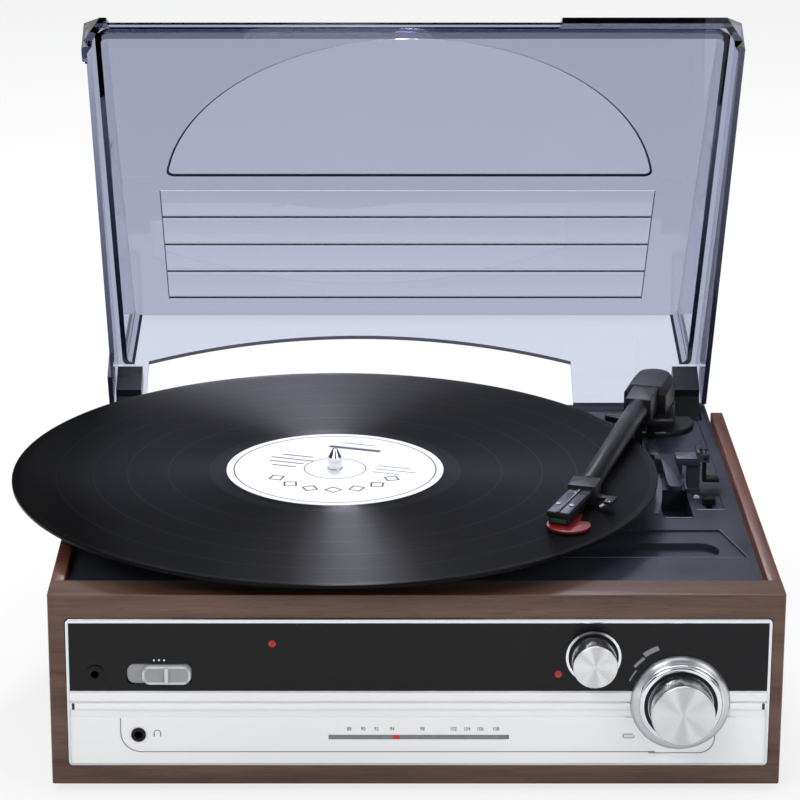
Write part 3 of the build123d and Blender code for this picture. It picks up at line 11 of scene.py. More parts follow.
import bmesh
import bpy
from mathutils import Matrix, Vector


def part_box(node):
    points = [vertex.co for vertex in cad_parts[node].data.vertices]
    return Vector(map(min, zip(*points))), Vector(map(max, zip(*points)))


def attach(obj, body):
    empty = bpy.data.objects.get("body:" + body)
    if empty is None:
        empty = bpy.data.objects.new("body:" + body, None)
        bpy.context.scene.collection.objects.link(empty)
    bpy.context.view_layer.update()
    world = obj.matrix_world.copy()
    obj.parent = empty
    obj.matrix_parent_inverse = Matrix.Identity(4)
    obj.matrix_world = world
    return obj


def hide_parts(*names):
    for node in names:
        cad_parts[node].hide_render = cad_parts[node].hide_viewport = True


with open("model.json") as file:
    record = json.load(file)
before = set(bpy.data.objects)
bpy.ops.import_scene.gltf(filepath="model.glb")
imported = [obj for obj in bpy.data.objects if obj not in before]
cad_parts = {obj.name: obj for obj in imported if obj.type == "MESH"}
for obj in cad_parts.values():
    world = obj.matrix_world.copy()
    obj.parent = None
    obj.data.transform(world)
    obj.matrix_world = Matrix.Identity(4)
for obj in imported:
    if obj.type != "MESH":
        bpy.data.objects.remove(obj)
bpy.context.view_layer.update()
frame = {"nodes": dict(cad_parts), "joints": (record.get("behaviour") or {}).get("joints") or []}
print("nodes:", len(frame["nodes"]))

# %% [markdown]
# Places come from the frame. A node's box gives its lowest and highest corner, and a few
# helpers turn those into centres, radii and planes, so that no piece needs fitting by eye.
# Sizes that belong to a moulding's own relief are named where the relief is made, in millimetres.

# %% Places on the object
MM = 0.001
BASE_PROUD = 2.5 * MM  # the tonearm's base stands this far above the deck
RIM_SHY = 0.03 * MM  # keeps the dressed record inside the solid that it stands for


def centre(node):
    """The middle of a node's box."""
    low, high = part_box(node)
    return (low + high) / 2


def joint(name):
    """The named joint's entry in the frame."""
    return next(j for j in frame["joints"] if j["name"] == name)


spindle_at = centre("spindle")
volume_at = centre("volume_bezel")
tuning_at = centre("tuning_bezel")
panel_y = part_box("upper_panel")[0].y
deck_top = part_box("tonearm_base")[1].z - BASE_PROUD
record_low, record_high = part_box("record")
record_radius = (record_high.x - record_low.x) / 2 - RIM_SHY
pivot_at = Vector(joint("arm_lift")["pos_m"])
arm_right = Vector(joint("arm_lift")["axis"]).normalized()
arm_ahead = Vector((0, 0, -1)).cross(arm_right)
hinge_at = Vector(joint("lid_hinge")["pos_m"])
lid_open = math.radians(joint("lid_hinge")["range_deg"][1])
print("record radius", round(record_radius / MM, 1), "mm, deck at", round(deck_top / MM, 1), "mm")

# %% [markdown]
# ## Camera, floor and light
# The camera looks slightly down on the front with a long lens. The floor is pale, and the
# lamps are large and soft, as in a studio, so that black plastic, chrome and smoked acrylic
# all show their form.

# %% Camera
LOOK_DOWN = 16.975  # degrees below level
camera_data = bpy.data.cameras.new("studio_camera")
camera = bpy.data.objects.new("studio_camera", camera_data)
bpy.context.scene.collection.objects.link(camera)
camera.location = (-0.02458, -1.39729, 0.58613)
camera.rotation_euler = (math.radians(90 - LOOK_DOWN), 0, 0)
camera_data.lens = 142.27
camera_data.sensor_width = 36
camera_data.shift_x = 0.0505
camera_data.shift_y = -0.0608
camera_data.dof.use_dof = False
bpy.context.scene.camera = camera
bpy.context.scene.view_settings.view_transform = "Standard"
print("camera lens", camera_data.lens)

# %% [markdown]
# Every finish is a tree of nodes. Trees are quicker to read when one call makes a node, sets it
# and links it, so a few helpers come first. A name that starts with in_ is an input socket: it
# takes another node's output as a link, and anything else as the value that it holds.

# %% Node helpers


def new_material(name):
    """An empty material that uses nodes."""
    material = bpy.data.materials.new(name)
    material.use_nodes = True
    material.node_tree.nodes.clear()
    return material


def feed(tree, socket, value):
    """Links an output to an input socket, or sets the value that the socket holds."""
    if hasattr(value, "is_output"):
        tree.links.new(value, socket)
    else:
        socket.default_value = value


def node(tree, kind, place=(0, 0), **settings):
    """Adds a node; settings are its properties, and its inputs as in_NAME."""
    made = tree.nodes.new(kind)
    made.location = place
    for key, value in settings.items():  # properties first, since some of them change the sockets
        if not key.startswith("in_"):
            setattr(made, key, value)
    for key, value in settings.items():
        if key.startswith("in_"):
            feed(tree, made.inputs[key[3:].replace("_", " ")], value)
    return made


def maths(tree, operation, values, place=(0, 0), kind="ShaderNodeMath", **settings):
    """A maths node fed by outputs or plain numbers; gives its first output."""
    made = node(tree, kind, place, operation=operation, **settings)
    for socket, value in zip(made.inputs, values):
        feed(tree, socket, value)
    return made.outputs[0]


def colours(tree, factor, first, second, place=(0, 200), blend_type="MIX"):
    """Mixes two colours."""
    mix = node(
        tree, "ShaderNodeMix", place, data_type="RGBA", blend_type=blend_type,
        in_Factor=factor, in_A=first, in_B=second,
    )
    return mix.outputs["Result"]


def shaders(tree, factor, first, second, place=(450, 0)):
    """Mixes two shaders."""
    mix = node(tree, "ShaderNodeMixShader", place, in_Fac=factor)
    feed(tree, mix.inputs[1], first)
    feed(tree, mix.inputs[2], second)
    return mix.outputs["Shader"]


def close(tree, surface, kind="ShaderNodeOutputMaterial"):
    """Joins a shader to the end of a material or a world."""
    return node(tree, kind, (700, 0), in_Surface=surface)


def seen_directly(tree, path):
    """One for a ray from the camera or through clear plastic, and nought for the others."""
    straight = (path.outputs["Is Camera Ray"], path.outputs["Is Transmission Ray"])
    return maths(tree, "MAXIMUM", straight, (-600, 300))


print("node helpers ready")

# %% [markdown]
# A floor that looks white to the camera, and still takes the object's shadow, is a pale
# diffuse plane. Where the camera, or a ray through clear plastic, looks at it directly, a Light
# Path node mixes in a plain white, so the ground stays clean without more light on the object.

# %% Floor
FLOOR_SIZE = 8
FLOOR_WHITE = 0.93
FLOOR_CLEAR = 0.78  # the share of plain white where the floor is looked at directly
bpy.ops.object.select_all(action="DESELECT")
bpy.ops.mesh.primitive_plane_add(size=FLOOR_SIZE, location=(0, 0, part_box("feet")[0].z))
floor = bpy.context.object
floor.name = "studio_floor"
floor_material = new_material("floor_paper")
tree = floor_material.node_tree
path = node(tree, "ShaderNodeLightPath", (-800, 300))
clear = maths(tree, "MULTIPLY", (seen_directly(tree, path), FLOOR_CLEAR), (-400, 300))
paper = node(tree, "ShaderNodeBsdfDiffuse", (0, 0), in_Color=(FLOOR_WHITE, FLOOR_WHITE, FLOOR_WHITE, 1))
glow = node(tree, "ShaderNodeEmission", (0, -150), in_Strength=1.0)
close(tree, shaders(tree, clear, paper.outputs["BSDF"], glow.outputs["Emission"]))
floor.data.materials.append(floor_material)
print("floor at", round(floor.location.z / MM, 1), "mm")

# %% [markdown]
# The world gives a soft, even light. Mirror rays see a studio in its place: a pale horizon, a
# dark wall above it and a pale ceiling, because chrome without dark and bright things to
# reflect looks like grey paint. The ramp runs over the height of the ray's direction.

# %% World
SOFT_LIGHT = 0.4
HORIZON = (0.85, 0.85, 0.85, 1)
CEILING = (0.6, 0.62, 0.65, 1)
CEILING_FROM = 0.85
WALL_STOPS = ((0.06, 0.6), (0.12, 0.04), (0.45, 0.04), (0.6, 0.15))  # height, grey level
world = bpy.data.worlds.new("studio_world")
world.use_nodes = True
bpy.context.scene.world = world
tree = world.node_tree
tree.nodes.clear()
path = node(tree, "ShaderNodeLightPath", (-800, 300))
way = node(tree, "ShaderNodeTexCoord", (-1200, -100))
split = node(tree, "ShaderNodeSeparateXYZ", (-1000, -100), in_Vector=way.outputs["Generated"])
studio = node(tree, "ShaderNodeValToRGB", (-800, -100), in_Fac=split.outputs["Z"])
ramp = studio.color_ramp.elements
ramp[0].position = 0.0
ramp[0].color = HORIZON
ramp[1].position = CEILING_FROM
ramp[1].color = CEILING
for position, level in WALL_STOPS:
    ramp.new(position).color = (level, level, level * 1.03, 1)
soft = node(
    tree, "ShaderNodeBackground", (-400, 100), in_Color=(0.95, 0.97, 1.0, 1), in_Strength=SOFT_LIGHT
)
room = node(tree, "ShaderNodeBackground", (-400, -100), in_Color=studio.outputs["Color"])
bright = node(tree, "ShaderNodeBackground", (-400, -250), in_Color=(1, 1, 1, 1))
mirrored = shaders(tree, path.outputs["Is Glossy Ray"], soft.outputs[0], room.outputs[0], (0, 0))
white_behind = shaders(tree, seen_directly(tree, path), mirrored, bright.outputs[0])
close(tree, white_behind, "ShaderNodeOutputWorld")
print("world stops:", len(ramp))

# %% [markdown]
# Four lamps: a large key from the front left, a weaker fill from the right, a small one high at
# the back whose light the record's grooves turn into two fans, and a wide one overhead. Large
# lamps give soft edges to the shadows, and long soft highlights on rounded plastic.

# %% Lamps


def softbox(name, place, target, size, power):
    """A large area lamp that looks at a point."""
    data = bpy.data.lights.new(name, "AREA")
    data.shape = "RECTANGLE"
    data.size, data.size_y = size
    data.energy = power
    lamp = bpy.data.objects.new(name, data)
    bpy.context.scene.collection.objects.link(lamp)
    lamp.location = place
    aim = Vector(target) - Vector(place)
    lamp.rotation_euler = aim.to_track_quat("-Z", "Y").to_euler()


softbox("key_box", (-0.9, -1.5, 1.5), (0, 0, 0.08), (1.0, 0.8), 14)
softbox("fill_box", (1.3, -1.2, 0.9), (0, 0, 0.08), (0.9, 0.9), 7)
softbox("back_box", (-0.01, 0.95, 1.15), (0, 0, 0.1), (0.1, 0.3), 9)
softbox("top_box", (0, 0.1, 1.7), (0, 0, 0.1), (1.2, 1.2), 8)

# %% [markdown]
# ## Finishes
# Each finish is made of nodes only. Effects that several finishes share are node groups, which
# hand out values, masks, colours and normals, while the shader itself stays in the material.
# A group is built once, and each material that it is placed in gives it its own numbers.

# %% Group helpers


def srgb(red, green, blue):
    """A colour given as 0 to 255 on a screen, made linear for the shader."""
    def linear(value):
        value /= 255
        return value / 12.92 if value <= 0.04045 else ((value + 0.055) / 1.055) ** 2.4
    return (linear(red), linear(green), linear(blue), 1)


def new_group(name, inputs, outputs):
    """An empty shader node group with its sockets and its two end nodes."""
    group = bpy.data.node_groups.new(name, "ShaderNodeTree")
    for label, kind, default in inputs:
        socket = group.interface.new_socket(label, in_out="INPUT", socket_type=kind)
        if default is not None:
            socket.default_value = default
    for label, kind in outputs:
        group.interface.new_socket(label, in_out="OUTPUT", socket_type=kind)
    return group, node(group, "NodeGroupInput", (-900, 0)), node(group, "NodeGroupOutput", (900, 0))


def hand_out(group, ends, **values):
    """Joins values to the group's outputs of the same names."""
    for name, value in values.items():
        feed(group, ends.inputs[name], value)


print("mid grey is", round(srgb(128, 128, 128)[0], 3))

# %% [markdown]
# Moulded and painted parts share two things: a fine texture from the mould, and slow changes of
# gloss, such as handling leaves. One noise is fine and feeds the bump. The other is slow, and a
# Map Range spreads it between the lowest and the highest roughness.

# %% Surface marks
marks, ins, outs = new_group(
    "surface_marks",
    [
        ("Vector", "NodeSocketVector", None),
        ("Scale", "NodeSocketFloat", 900.0),
        ("Low", "NodeSocketFloat", 0.3),
        ("High", "NodeSocketFloat", 0.45),
        ("Bump", "NodeSocketFloat", 0.1),
    ],
    [("Roughness", "NodeSocketFloat"), ("Normal", "NodeSocketVector"), ("Mask", "NodeSocketFloat")],
)
vector = ins.outputs["Vector"]
slow = node(marks, "ShaderNodeTexNoise", (-600, 200), in_Vector=vector, in_Scale=38.0, in_Detail=4.0)
fine = node(
    marks, "ShaderNodeTexNoise", (-600, -150), in_Vector=vector, in_Scale=ins.outputs["Scale"], in_Detail=3.0
)
spread = node(
    marks, "ShaderNodeMapRange", (-300, 200), in_Value=slow.outputs["Fac"], in_From_Min=0.35,
    in_From_Max=0.65, in_To_Min=ins.outputs["Low"], in_To_Max=ins.outputs["High"],
)
bump = node(
    marks, "ShaderNodeBump", (300, -150), in_Distance=0.0002, in_Strength=ins.outputs["Bump"],
    in_Height=fine.outputs["Fac"],
)
hand_out(
    marks, outs, Roughness=spread.outputs["Result"], Normal=bump.outputs["Normal"], Mask=slow.outputs["Fac"]
)
print("group:", marks.name)

# %% [markdown]
# Veneer has long fibres, slow bands of colour and short dark pores. Three noises that are
# stretched along the vector's X draw them. Bands and fibres choose the colour between a dark
# and a light brown, and the pores are multiplied over it, as a darker ink.

# %% Veneer
veneer, ins, outs = new_group(
    "veneer_figure",
    [
        ("Vector", "NodeSocketVector", None),
        ("Dark", "NodeSocketColor", srgb(74, 44, 36)),
        ("Light", "NodeSocketColor", srgb(126, 82, 68)),
    ],
    [("Color", "NodeSocketColor"), ("Roughness", "NodeSocketFloat"), ("Normal", "NodeSocketVector")],
)
stretch = node(
    veneer, "ShaderNodeMapping", (-700, 0), in_Vector=ins.outputs["Vector"], in_Scale=(7.0, 110.0, 110.0)
)
along = stretch.outputs["Vector"]
bands = node(
    veneer, "ShaderNodeTexNoise", (-450, 200), in_Vector=along, in_Scale=0.9, in_Detail=7.0, in_Distortion=0.6
)
fibre = node(veneer, "ShaderNodeTexNoise", (-450, -50), in_Vector=along, in_Scale=6.0, in_Detail=5.0)
pores = node(veneer, "ShaderNodeTexNoise", (-450, -300), in_Vector=along, in_Scale=14.0, in_Detail=1.0)
weak_fibre = maths(veneer, "MULTIPLY", (fibre.outputs["Fac"], 0.45), (-200, 0))
figure = maths(veneer, "ADD", (bands.outputs["Fac"], weak_fibre), (-50, 100))
depth = node(veneer, "ShaderNodeMapRange", (100, 100), in_Value=figure, in_From_Min=0.5, in_From_Max=0.95)
brown = colours(veneer, depth.outputs["Result"], ins.outputs["Dark"], ins.outputs["Light"], (300, 150))
pore_spots = maths(veneer, "GREATER_THAN", (pores.outputs["Fac"], 0.66), (-200, -300))
pore_ink = maths(veneer, "MULTIPLY", (pore_spots, 0.35), (0, -300))
inked = colours(veneer, pore_ink, brown, (0.25, 0.18, 0.16, 1), (550, 100), "MULTIPLY")
gloss = node(
    veneer, "ShaderNodeMapRange", (300, -100), in_Value=fibre.outputs["Fac"], in_To_Min=0.42, in_To_Max=0.56
)
bump = node(
    veneer, "ShaderNodeBump", (550, -200), in_Strength=0.25, in_Distance=0.0003,
    in_Height=fibre.outputs["Fac"],
)
hand_out(veneer, outs, Color=inked, Roughness=gloss.outputs["Result"], Normal=bump.outputs["Normal"])
print("group:", veneer.name)

# %% [markdown]
# The grooves of a record run round the vector's Z axis. The distance from that axis drives
# them: a sine and a one-way noise for the fine rings, and a narrow smooth gap at each place where
# one track ends and the next begins. Outside the grooved band the bump is cut off.

# %% Record grooves
RING_PITCH = 1.1 * MM
GROOVED_FROM, GROOVED_TO = 59 * MM, 147 * MM
TRACK_GAPS = (78, 97, 113, 130)  # radii in millimetres
TRACK_GAP_HALF = 0.45 * MM
grooves, ins, outs = new_group(
    "record_grooves",
    [("Vector", "NodeSocketVector", None)],
    [("Cut", "NodeSocketFloat"), ("Gap", "NodeSocketFloat"), ("Normal", "NodeSocketVector")],
)


def distance_from_axis(tree, vector, keep, place=(-800, 300)):
    """The vector without the axis's own part, and its length."""
    flat = maths(tree, "MULTIPLY", (vector, keep), place, "ShaderNodeVectorMath")
    reach = node(tree, "ShaderNodeVectorMath", (place[0] + 150, place[1]), operation="LENGTH")
    feed(tree, reach.inputs[0], flat)
    return flat, reach.outputs["Value"]


_, radius = distance_from_axis(grooves, ins.outputs["Vector"], (1, 1, 0), (-700, 0))
wave = maths(grooves, "MULTIPLY", (radius, 2 * math.pi / RING_PITCH), (-350, 200))
ripple = maths(grooves, "SINE", (wave,), (-200, 200))
lines = node(
    grooves, "ShaderNodeTexNoise", (-350, -50), noise_dimensions="1D", in_W=radius, in_Scale=900.0,
    in_Detail=4.0,
)
inner = maths(grooves, "GREATER_THAN", (radius, GROOVED_FROM), (-350, -250))
outer = maths(grooves, "LESS_THAN", (radius, GROOVED_TO), (-350, -400))
band = maths(grooves, "MULTIPLY", (inner, outer), (-200, -300))
gap = None
for track in TRACK_GAPS:
    near = maths(grooves, "COMPARE", (radius, track * MM, TRACK_GAP_HALF), (-200, -500 - track))
    gap = near if gap is None else maths(grooves, "MAXIMUM", (gap, near), (0, -500 - track))
open_cut = maths(grooves, "SUBTRACT", (band, gap), (100, -300), use_clamp=True)
height = maths(grooves, "ADD", (lines.outputs["Fac"], ripple), (0, 100))
shaped = maths(grooves, "MULTIPLY", (height, open_cut), (250, 0))
bump = node(
    grooves, "ShaderNodeBump", (500, -100), in_Strength=0.10, in_Distance=0.0001, in_Height=shaped
)
hand_out(grooves, outs, Cut=open_cut, Gap=gap, Normal=bump.outputs["Normal"])
print("groups:", [g.name for g in bpy.data.node_groups])

# %% [markdown]
# Most finishes are one shader with its gloss and fine bump from the shared group, and a base
# colour that drifts a little over the surface, because no moulded or painted part is even.
# Patterns read Object coordinates, so they stay on the part when it turns or slides.

# %% A moulded finish


def coordinates(tree, middle=(0, 0, 0), turn=(0, 0, 0)):
    """Object coordinates, moved so that the pattern's middle is at a point, and turned."""
    source = node(tree, "ShaderNodeTexCoord", (-1300, 0))
    start = maths(tree, "SUBTRACT", (source.outputs["Object"], middle), (-1200, 0), "ShaderNodeVectorMath")
    return node(tree, "ShaderNodeMapping", (-1100, 0), in_Vector=start, in_Rotation=turn).outputs["Vector"]


def placed_group(tree, group, vector, place=(-600, 0), **settings):
    """Puts a node group in a material's tree, with its own values."""
    return node(tree, "ShaderNodeGroup", place, node_tree=group, in_Vector=vector, **settings)


def principled(tree, colour, roughness, normal, **settings):
    """The material's one shader, joined to its end."""
    shader = node(
        tree, "ShaderNodeBsdfPrincipled", (350, 0), in_Base_Color=colour, in_Roughness=roughness,
        in_Normal=normal, **settings,
    )
    close(tree, shader.outputs["BSDF"])


def toned(colour, share):
    """A colour made darker or lighter, up to white."""
    return [min(1, part * share) for part in colour[:3]] + [1]


def moulded(name, colour, low=0.35, high=0.5, grain=900.0, bump=0.1, drift=0.12, **settings):
    """A finish with drifting colour and gloss, and a fine grain."""
    material = new_material(name)
    tree = material.node_tree
    effect = placed_group(
        tree, marks, coordinates(tree), in_Scale=grain, in_Low=low, in_High=high, in_Bump=bump
    )
    mixed = colours(tree, effect.outputs["Mask"], toned(colour, 1 - drift), toned(colour, 1 + drift))
    principled(tree, mixed, effect.outputs["Roughness"], effect.outputs["Normal"], **settings)
    return material


print("a moulded finish takes a colour, two roughnesses, a grain and a bump")

# %% [markdown]
# The dark plastics differ by grain and gloss: the deck and the arm are satin, the panel is
# smooth, the rear cover is coarse. A low specular level keeps them dark under the big lamps.

# %% Plastics
MATT = {"in_Specular_IOR_Level": 0.2}
deck_plastic = moulded("deck_plastic", srgb(46, 49, 59), 0.36, 0.5, 1500, 0.12, **MATT)
# A pale deck plastic used only for painted highlights on edges and bands.
deck_painted_highlight = moulded("deck_painted_highlight", srgb(98, 101, 112), 0.34, 0.46, 1500, 0.1, **MATT)
arm_plastic = moulded("arm_plastic", srgb(24, 25, 28), 0.36, 0.48, 1300, 0.1, **MATT)
lever_plastic = moulded("lever_plastic", srgb(42, 45, 58), 0.36, 0.48, 1300, 0.1, **MATT)
shell_grey = moulded("shell_grey", srgb(62, 64, 78), 0.34, 0.44, 1400, 0.12, **MATT)
# This black also paints shade: round the knobs, in screw slots and beside the right board.
dark_plastic_and_shade = moulded("dark_plastic_and_shade", srgb(20, 20, 22), 0.28, 0.4, 1500, 0.06, **MATT)
hinge_black = moulded("hinge_black", srgb(28, 29, 33), 0.25, 0.38, 1200, 0.05, **MATT)
panel_black = moulded("panel_black", srgb(16, 16, 18), 0.2, 0.28, 300, 0.01, in_Specular_IOR_Level=0.22)
rear_plastic = moulded("rear_plastic", srgb(40, 41, 44), 0.5, 0.62, 700, 0.35)
inner_frame = moulded("inner_frame", srgb(58, 60, 64), 0.45, 0.6, 900, 0.1)
# This grey also paints a highlight on the tonearm's base.
selector_grey_and_highlight = moulded("selector_grey_and_highlight", srgb(150, 152, 154), 0.3, 0.42, 900, 0.05)
bright_plastic = moulded("bright_plastic", srgb(206, 209, 214), 0.25, 0.36, 900, 0.05)
cartridge_green = moulded("cartridge_green", srgb(22, 62, 48), 0.25, 0.4, 900, 0.05)
socket_red = moulded("socket_red", srgb(172, 28, 30), 0.3, 0.45, 900, 0.05)
socket_white = moulded("socket_white", srgb(226, 226, 222), 0.3, 0.45, 900, 0.05)
stylus_red = moulded("stylus_red", srgb(112, 7, 13), 0.3, 0.4, 900, 0.05, in_Coat_Weight=0.3)
print("plastics:", len(bpy.data.materials))

# %% [markdown]
# Rubber, felt, paper and print are rough and barely shine. Prints have hardly any bump,
# because ink lies flat, and the label's paper has a fine tooth.

# %% Rubber, felt, paper and print
soft_rubber = moulded("soft_rubber", srgb(25, 25, 26), 0.6, 0.8, 1100, 0.3)
felt_mat = moulded("felt_mat", srgb(30, 30, 32), 0.85, 0.95, 1800, 0.6)
label_paper = moulded("label_paper", srgb(232, 232, 230), 0.5, 0.62, 1500, 0.2, 0.03)
label_print = moulded("label_print", srgb(38, 38, 42), 0.45, 0.6, 900, 0.1)
board_print = moulded("board_print", srgb(28, 82, 52), 0.35, 0.5, 500, 0.1)
white_print = moulded("white_print", srgb(225, 226, 230), 0.4, 0.5, 900, 0.05)
# This grey also paints the shade in the scribed line on the lower panel.
grey_print_and_shade = moulded("grey_print_and_shade", srgb(128, 131, 138), 0.4, 0.5, 900, 0.05)
# This dark print also paints the shade in the slots at the rib's ends.
dark_print_and_shade = moulded("dark_print_and_shade", srgb(42, 43, 48), 0.4, 0.5, 900, 0.05)
print("finishes so far:", len(bpy.data.materials))

# %% [markdown]
# Metals differ by how they were worked. Chrome is smooth, and a stamped or cast part has a faint
# grain. All of them have small changes of gloss, as fingers and polishing leave.

# %% Plain metals


def metal(name, colour, low, high, grain=600.0, bump=0.02):
    """A metal whose colour hardly drifts."""
    return moulded(name, colour, low, high, grain, bump, 0.04, in_Metallic=1.0)


knob_side = metal("knob_side", srgb(216, 218, 221), 0.2, 0.28)
chrome = metal("chrome", srgb(228, 230, 234), 0.06, 0.13)
dull_steel = metal("dull_steel", srgb(176, 178, 182), 0.28, 0.42, 900, 0.08)
warm_brass = metal("warm_brass", srgb(202, 168, 96), 0.2, 0.34)
cast_platter = metal("cast_platter", srgb(168, 170, 176), 0.3, 0.45, 500, 0.15)
print("plain metals: 5")

# %% [markdown]
# A turned knob has rings, which spread its highlights into two soft wedges. The wedges come from
# anisotropy with a tangent that points straight away from the knob's own axis, and the rings
# from a noise that runs along the distance from it.

# %% Turned metals


def turned(name, axis_at, colour, rings=0.35, low=0.4, high=0.48):
    """Metal turned on a lathe about a line along Y through a point."""
    material = new_material(name)
    tree = material.node_tree
    vector = coordinates(tree, axis_at)
    flat, reach = distance_from_axis(tree, vector, (1, 0, 1))
    line = node(
        tree, "ShaderNodeTexNoise", (-450, 300), noise_dimensions="1D", in_W=reach, in_Scale=2600.0,
        in_Detail=2.0,
    )
    effect = placed_group(
        tree, marks, vector, (-450, -200), in_Scale=800.0, in_Low=low, in_High=high, in_Bump=0.0
    )
    bump = node(
        tree, "ShaderNodeBump", (0, -200), in_Strength=rings, in_Distance=0.00005,
        in_Height=line.outputs["Fac"],
    )
    mixed = colours(tree, line.outputs["Fac"], toned(colour, 0.86), colour)
    principled(
        tree, mixed, effect.outputs["Roughness"], bump.outputs["Normal"], in_Metallic=1.0,
        in_Anisotropic=0.9, in_Tangent=flat,
    )
    return material


volume_metal = turned("volume_metal", volume_at, srgb(240, 241, 244))
tuning_metal = turned("tuning_metal", tuning_at, srgb(246, 247, 250))
ring_silver = turned("ring_silver", volume_at, srgb(214, 216, 220), 0.15, 0.28, 0.36)
print("turned metals: 3")

# %% [markdown]
# The lower panel and the ribs look nearly white: aluminium lacquer over plastic, with metal flakes
# too fine to see. A pale plastic with a trace of metal and a thin coat gives the soft gradient
# that plain white plastic lacks.

# %% Silver paint
silver_paint = moulded(
    "silver_paint", srgb(243, 243, 244), 0.34, 0.44, 2500, 0.03, 0.01, in_Metallic=0.08, in_Coat_Weight=0.15
)
print("silver paint ready")

# %% [markdown]
# The cabinet is board with a brown veneer. The veneer group draws fibre, bands and pores, and
# the vector is turned so that the fibre runs along each board. The same figure with paler
# browns serves the plain boards that are out of sight.

# %% Wood
FIGURE_FROM = (0.31, 0.12, 0.05)  # where in the endless veneer this cabinet was cut


def wood(name, turn, dark, light):
    """Veneer whose fibre runs along X after the pattern is turned."""
    material = new_material(name)
    tree = material.node_tree
    effect = placed_group(tree, veneer, coordinates(tree, FIGURE_FROM, turn), in_Dark=dark, in_Light=light)
    principled(
        tree, effect.outputs["Color"], effect.outputs["Roughness"], effect.outputs["Normal"],
        in_Coat_Weight=0.12, in_Coat_Roughness=0.3,
    )
    return material


front_wood = wood("front_wood", (0, 0, 0), srgb(64, 42, 34), srgb(104, 74, 60))
side_wood = wood("side_wood", (0, 0, math.pi / 2), srgb(80, 40, 26), srgb(132, 76, 52))
base_wood = wood("base_wood", (0, 0, 0), srgb(120, 96, 72), srgb(168, 142, 112))
print("woods: 3")

# %% [markdown]
# Smoked acrylic is clear plastic with a dye. The shader's own colour tints what passes a face,
# and an absorbing volume darkens the light more the longer its way through the wall is, as at
# the edges. Shadow rays would be stopped by glass, so a Light Path switch lets most of the light
# through, and the record below an open lid isn't left in the dark. A paler tint with the same
# dye is painted light on the face of the rear wall, and two plain plastics are painted light on
# the thin edges and a painted shade line on the field's step.

# %% Smoked acrylic
DYE_COLOUR = (0.02, 0.06, 0.2, 1)
DYE_DENSITY = 110.0
LID_SHADOW = (0.9, 0.9, 0.92, 1)


def acrylic(name, colour):
    """Dyed clear plastic with faint polishing marks."""
    material = new_material(name)
    tree = material.node_tree
    effect = placed_group(
        tree, marks, coordinates(tree), in_Scale=60.0, in_Low=0.0, in_High=0.03, in_Bump=0.0
    )
    shader = node(
        tree, "ShaderNodeBsdfPrincipled", (200, 0), in_Base_Color=colour, in_Transmission_Weight=1.0,
        in_IOR=1.49, in_Roughness=effect.outputs["Roughness"],
    )
    shadow = node(tree, "ShaderNodeBsdfTransparent", (200, -300), in_Color=LID_SHADOW)
    path = node(tree, "ShaderNodeLightPath", (0, 300))
    is_shadow = path.outputs["Is Shadow Ray"]
    lets_light_by = shaders(tree, is_shadow, shader.outputs["BSDF"], shadow.outputs["BSDF"])
    dye = node(
        tree, "ShaderNodeVolumeAbsorption", (450, -300), in_Color=DYE_COLOUR, in_Density=DYE_DENSITY
    )
    feed(tree, close(tree, lets_light_by).inputs["Volume"], dye.outputs["Volume"])
    return material


smoked = acrylic("smoked", (0.56, 0.58, 0.73, 1))
# A paler copy of the smoked tint: painted light on the rear wall's face.
smoked_painted_light = acrylic("smoked_painted_light", (0.84, 0.87, 0.95, 1))
# Opaque grey: painted light on the slot's cut edges and the louvres' ends.
lid_painted_edge_light = moulded("lid_painted_edge_light", srgb(112, 114, 132), 0.3, 0.4, 900, 0.05)
# Dark: a painted shade line where the field's step is.
lid_painted_shade_line = moulded("lid_painted_shade_line", srgb(58, 60, 80), 0.3, 0.4, 900, 0.05)
print("lid finishes: 4")

# %% [markdown]
# The dial strip is lit from behind: grey, with a red glow painted into its colour where the
# pointer stands. The painted glow is a smooth step of the distance from the pointer, so its edge
# is soft like light through plastic.

# %% Dial strip
PAINTED_GLOW_FULL, PAINTED_GLOW_GONE = 0.6 * MM, 2.6 * MM
dial_strip = new_material("dial_strip")
tree = dial_strip.node_tree
vector = coordinates(tree, centre("dial_pointer"))
effect = placed_group(tree, marks, vector, in_Scale=700.0, in_Low=0.18, in_High=0.3, in_Bump=0.02)
split = node(tree, "ShaderNodeSeparateXYZ", (-600, 300), in_Vector=vector)
away = maths(tree, "ABSOLUTE", (split.outputs["X"],), (-450, 300))
# The red spot is a painted glow of the light behind the pointer.
painted_glow = node(
    tree, "ShaderNodeMapRange", (-300, 300), interpolation_type="SMOOTHSTEP", in_Value=away,
    in_From_Min=PAINTED_GLOW_FULL, in_From_Max=PAINTED_GLOW_GONE, in_To_Min=1, in_To_Max=0,
)
painted_glow_colour = colours(tree, painted_glow.outputs["Result"], srgb(118, 120, 126), srgb(196, 30, 34))
principled(tree, painted_glow_colour, effect.outputs["Roughness"], effect.outputs["Normal"], in_Coat_Weight=0.4)
print("pointer at", round(centre("dial_pointer").x / MM, 1), "mm")

# %% [markdown]
# The two small lamps and the dial's pointer are red plastic that glows a little. A faint
# emission reads better than a bright one, which would burn out to a flat white disc.

# %% Glowing red
glow_red = new_material("glow_red")
tree = glow_red.node_tree
effect = placed_group(
    tree, marks, coordinates(tree), in_Scale=900.0, in_Low=0.15, in_High=0.25, in_Bump=0.02
)
principled(
    tree, srgb(150, 18, 24), effect.outputs["Roughness"], effect.outputs["Normal"],
    in_Emission_Color=srgb(235, 45, 45), in_Emission_Strength=0.12,
)
print("glowing red ready")

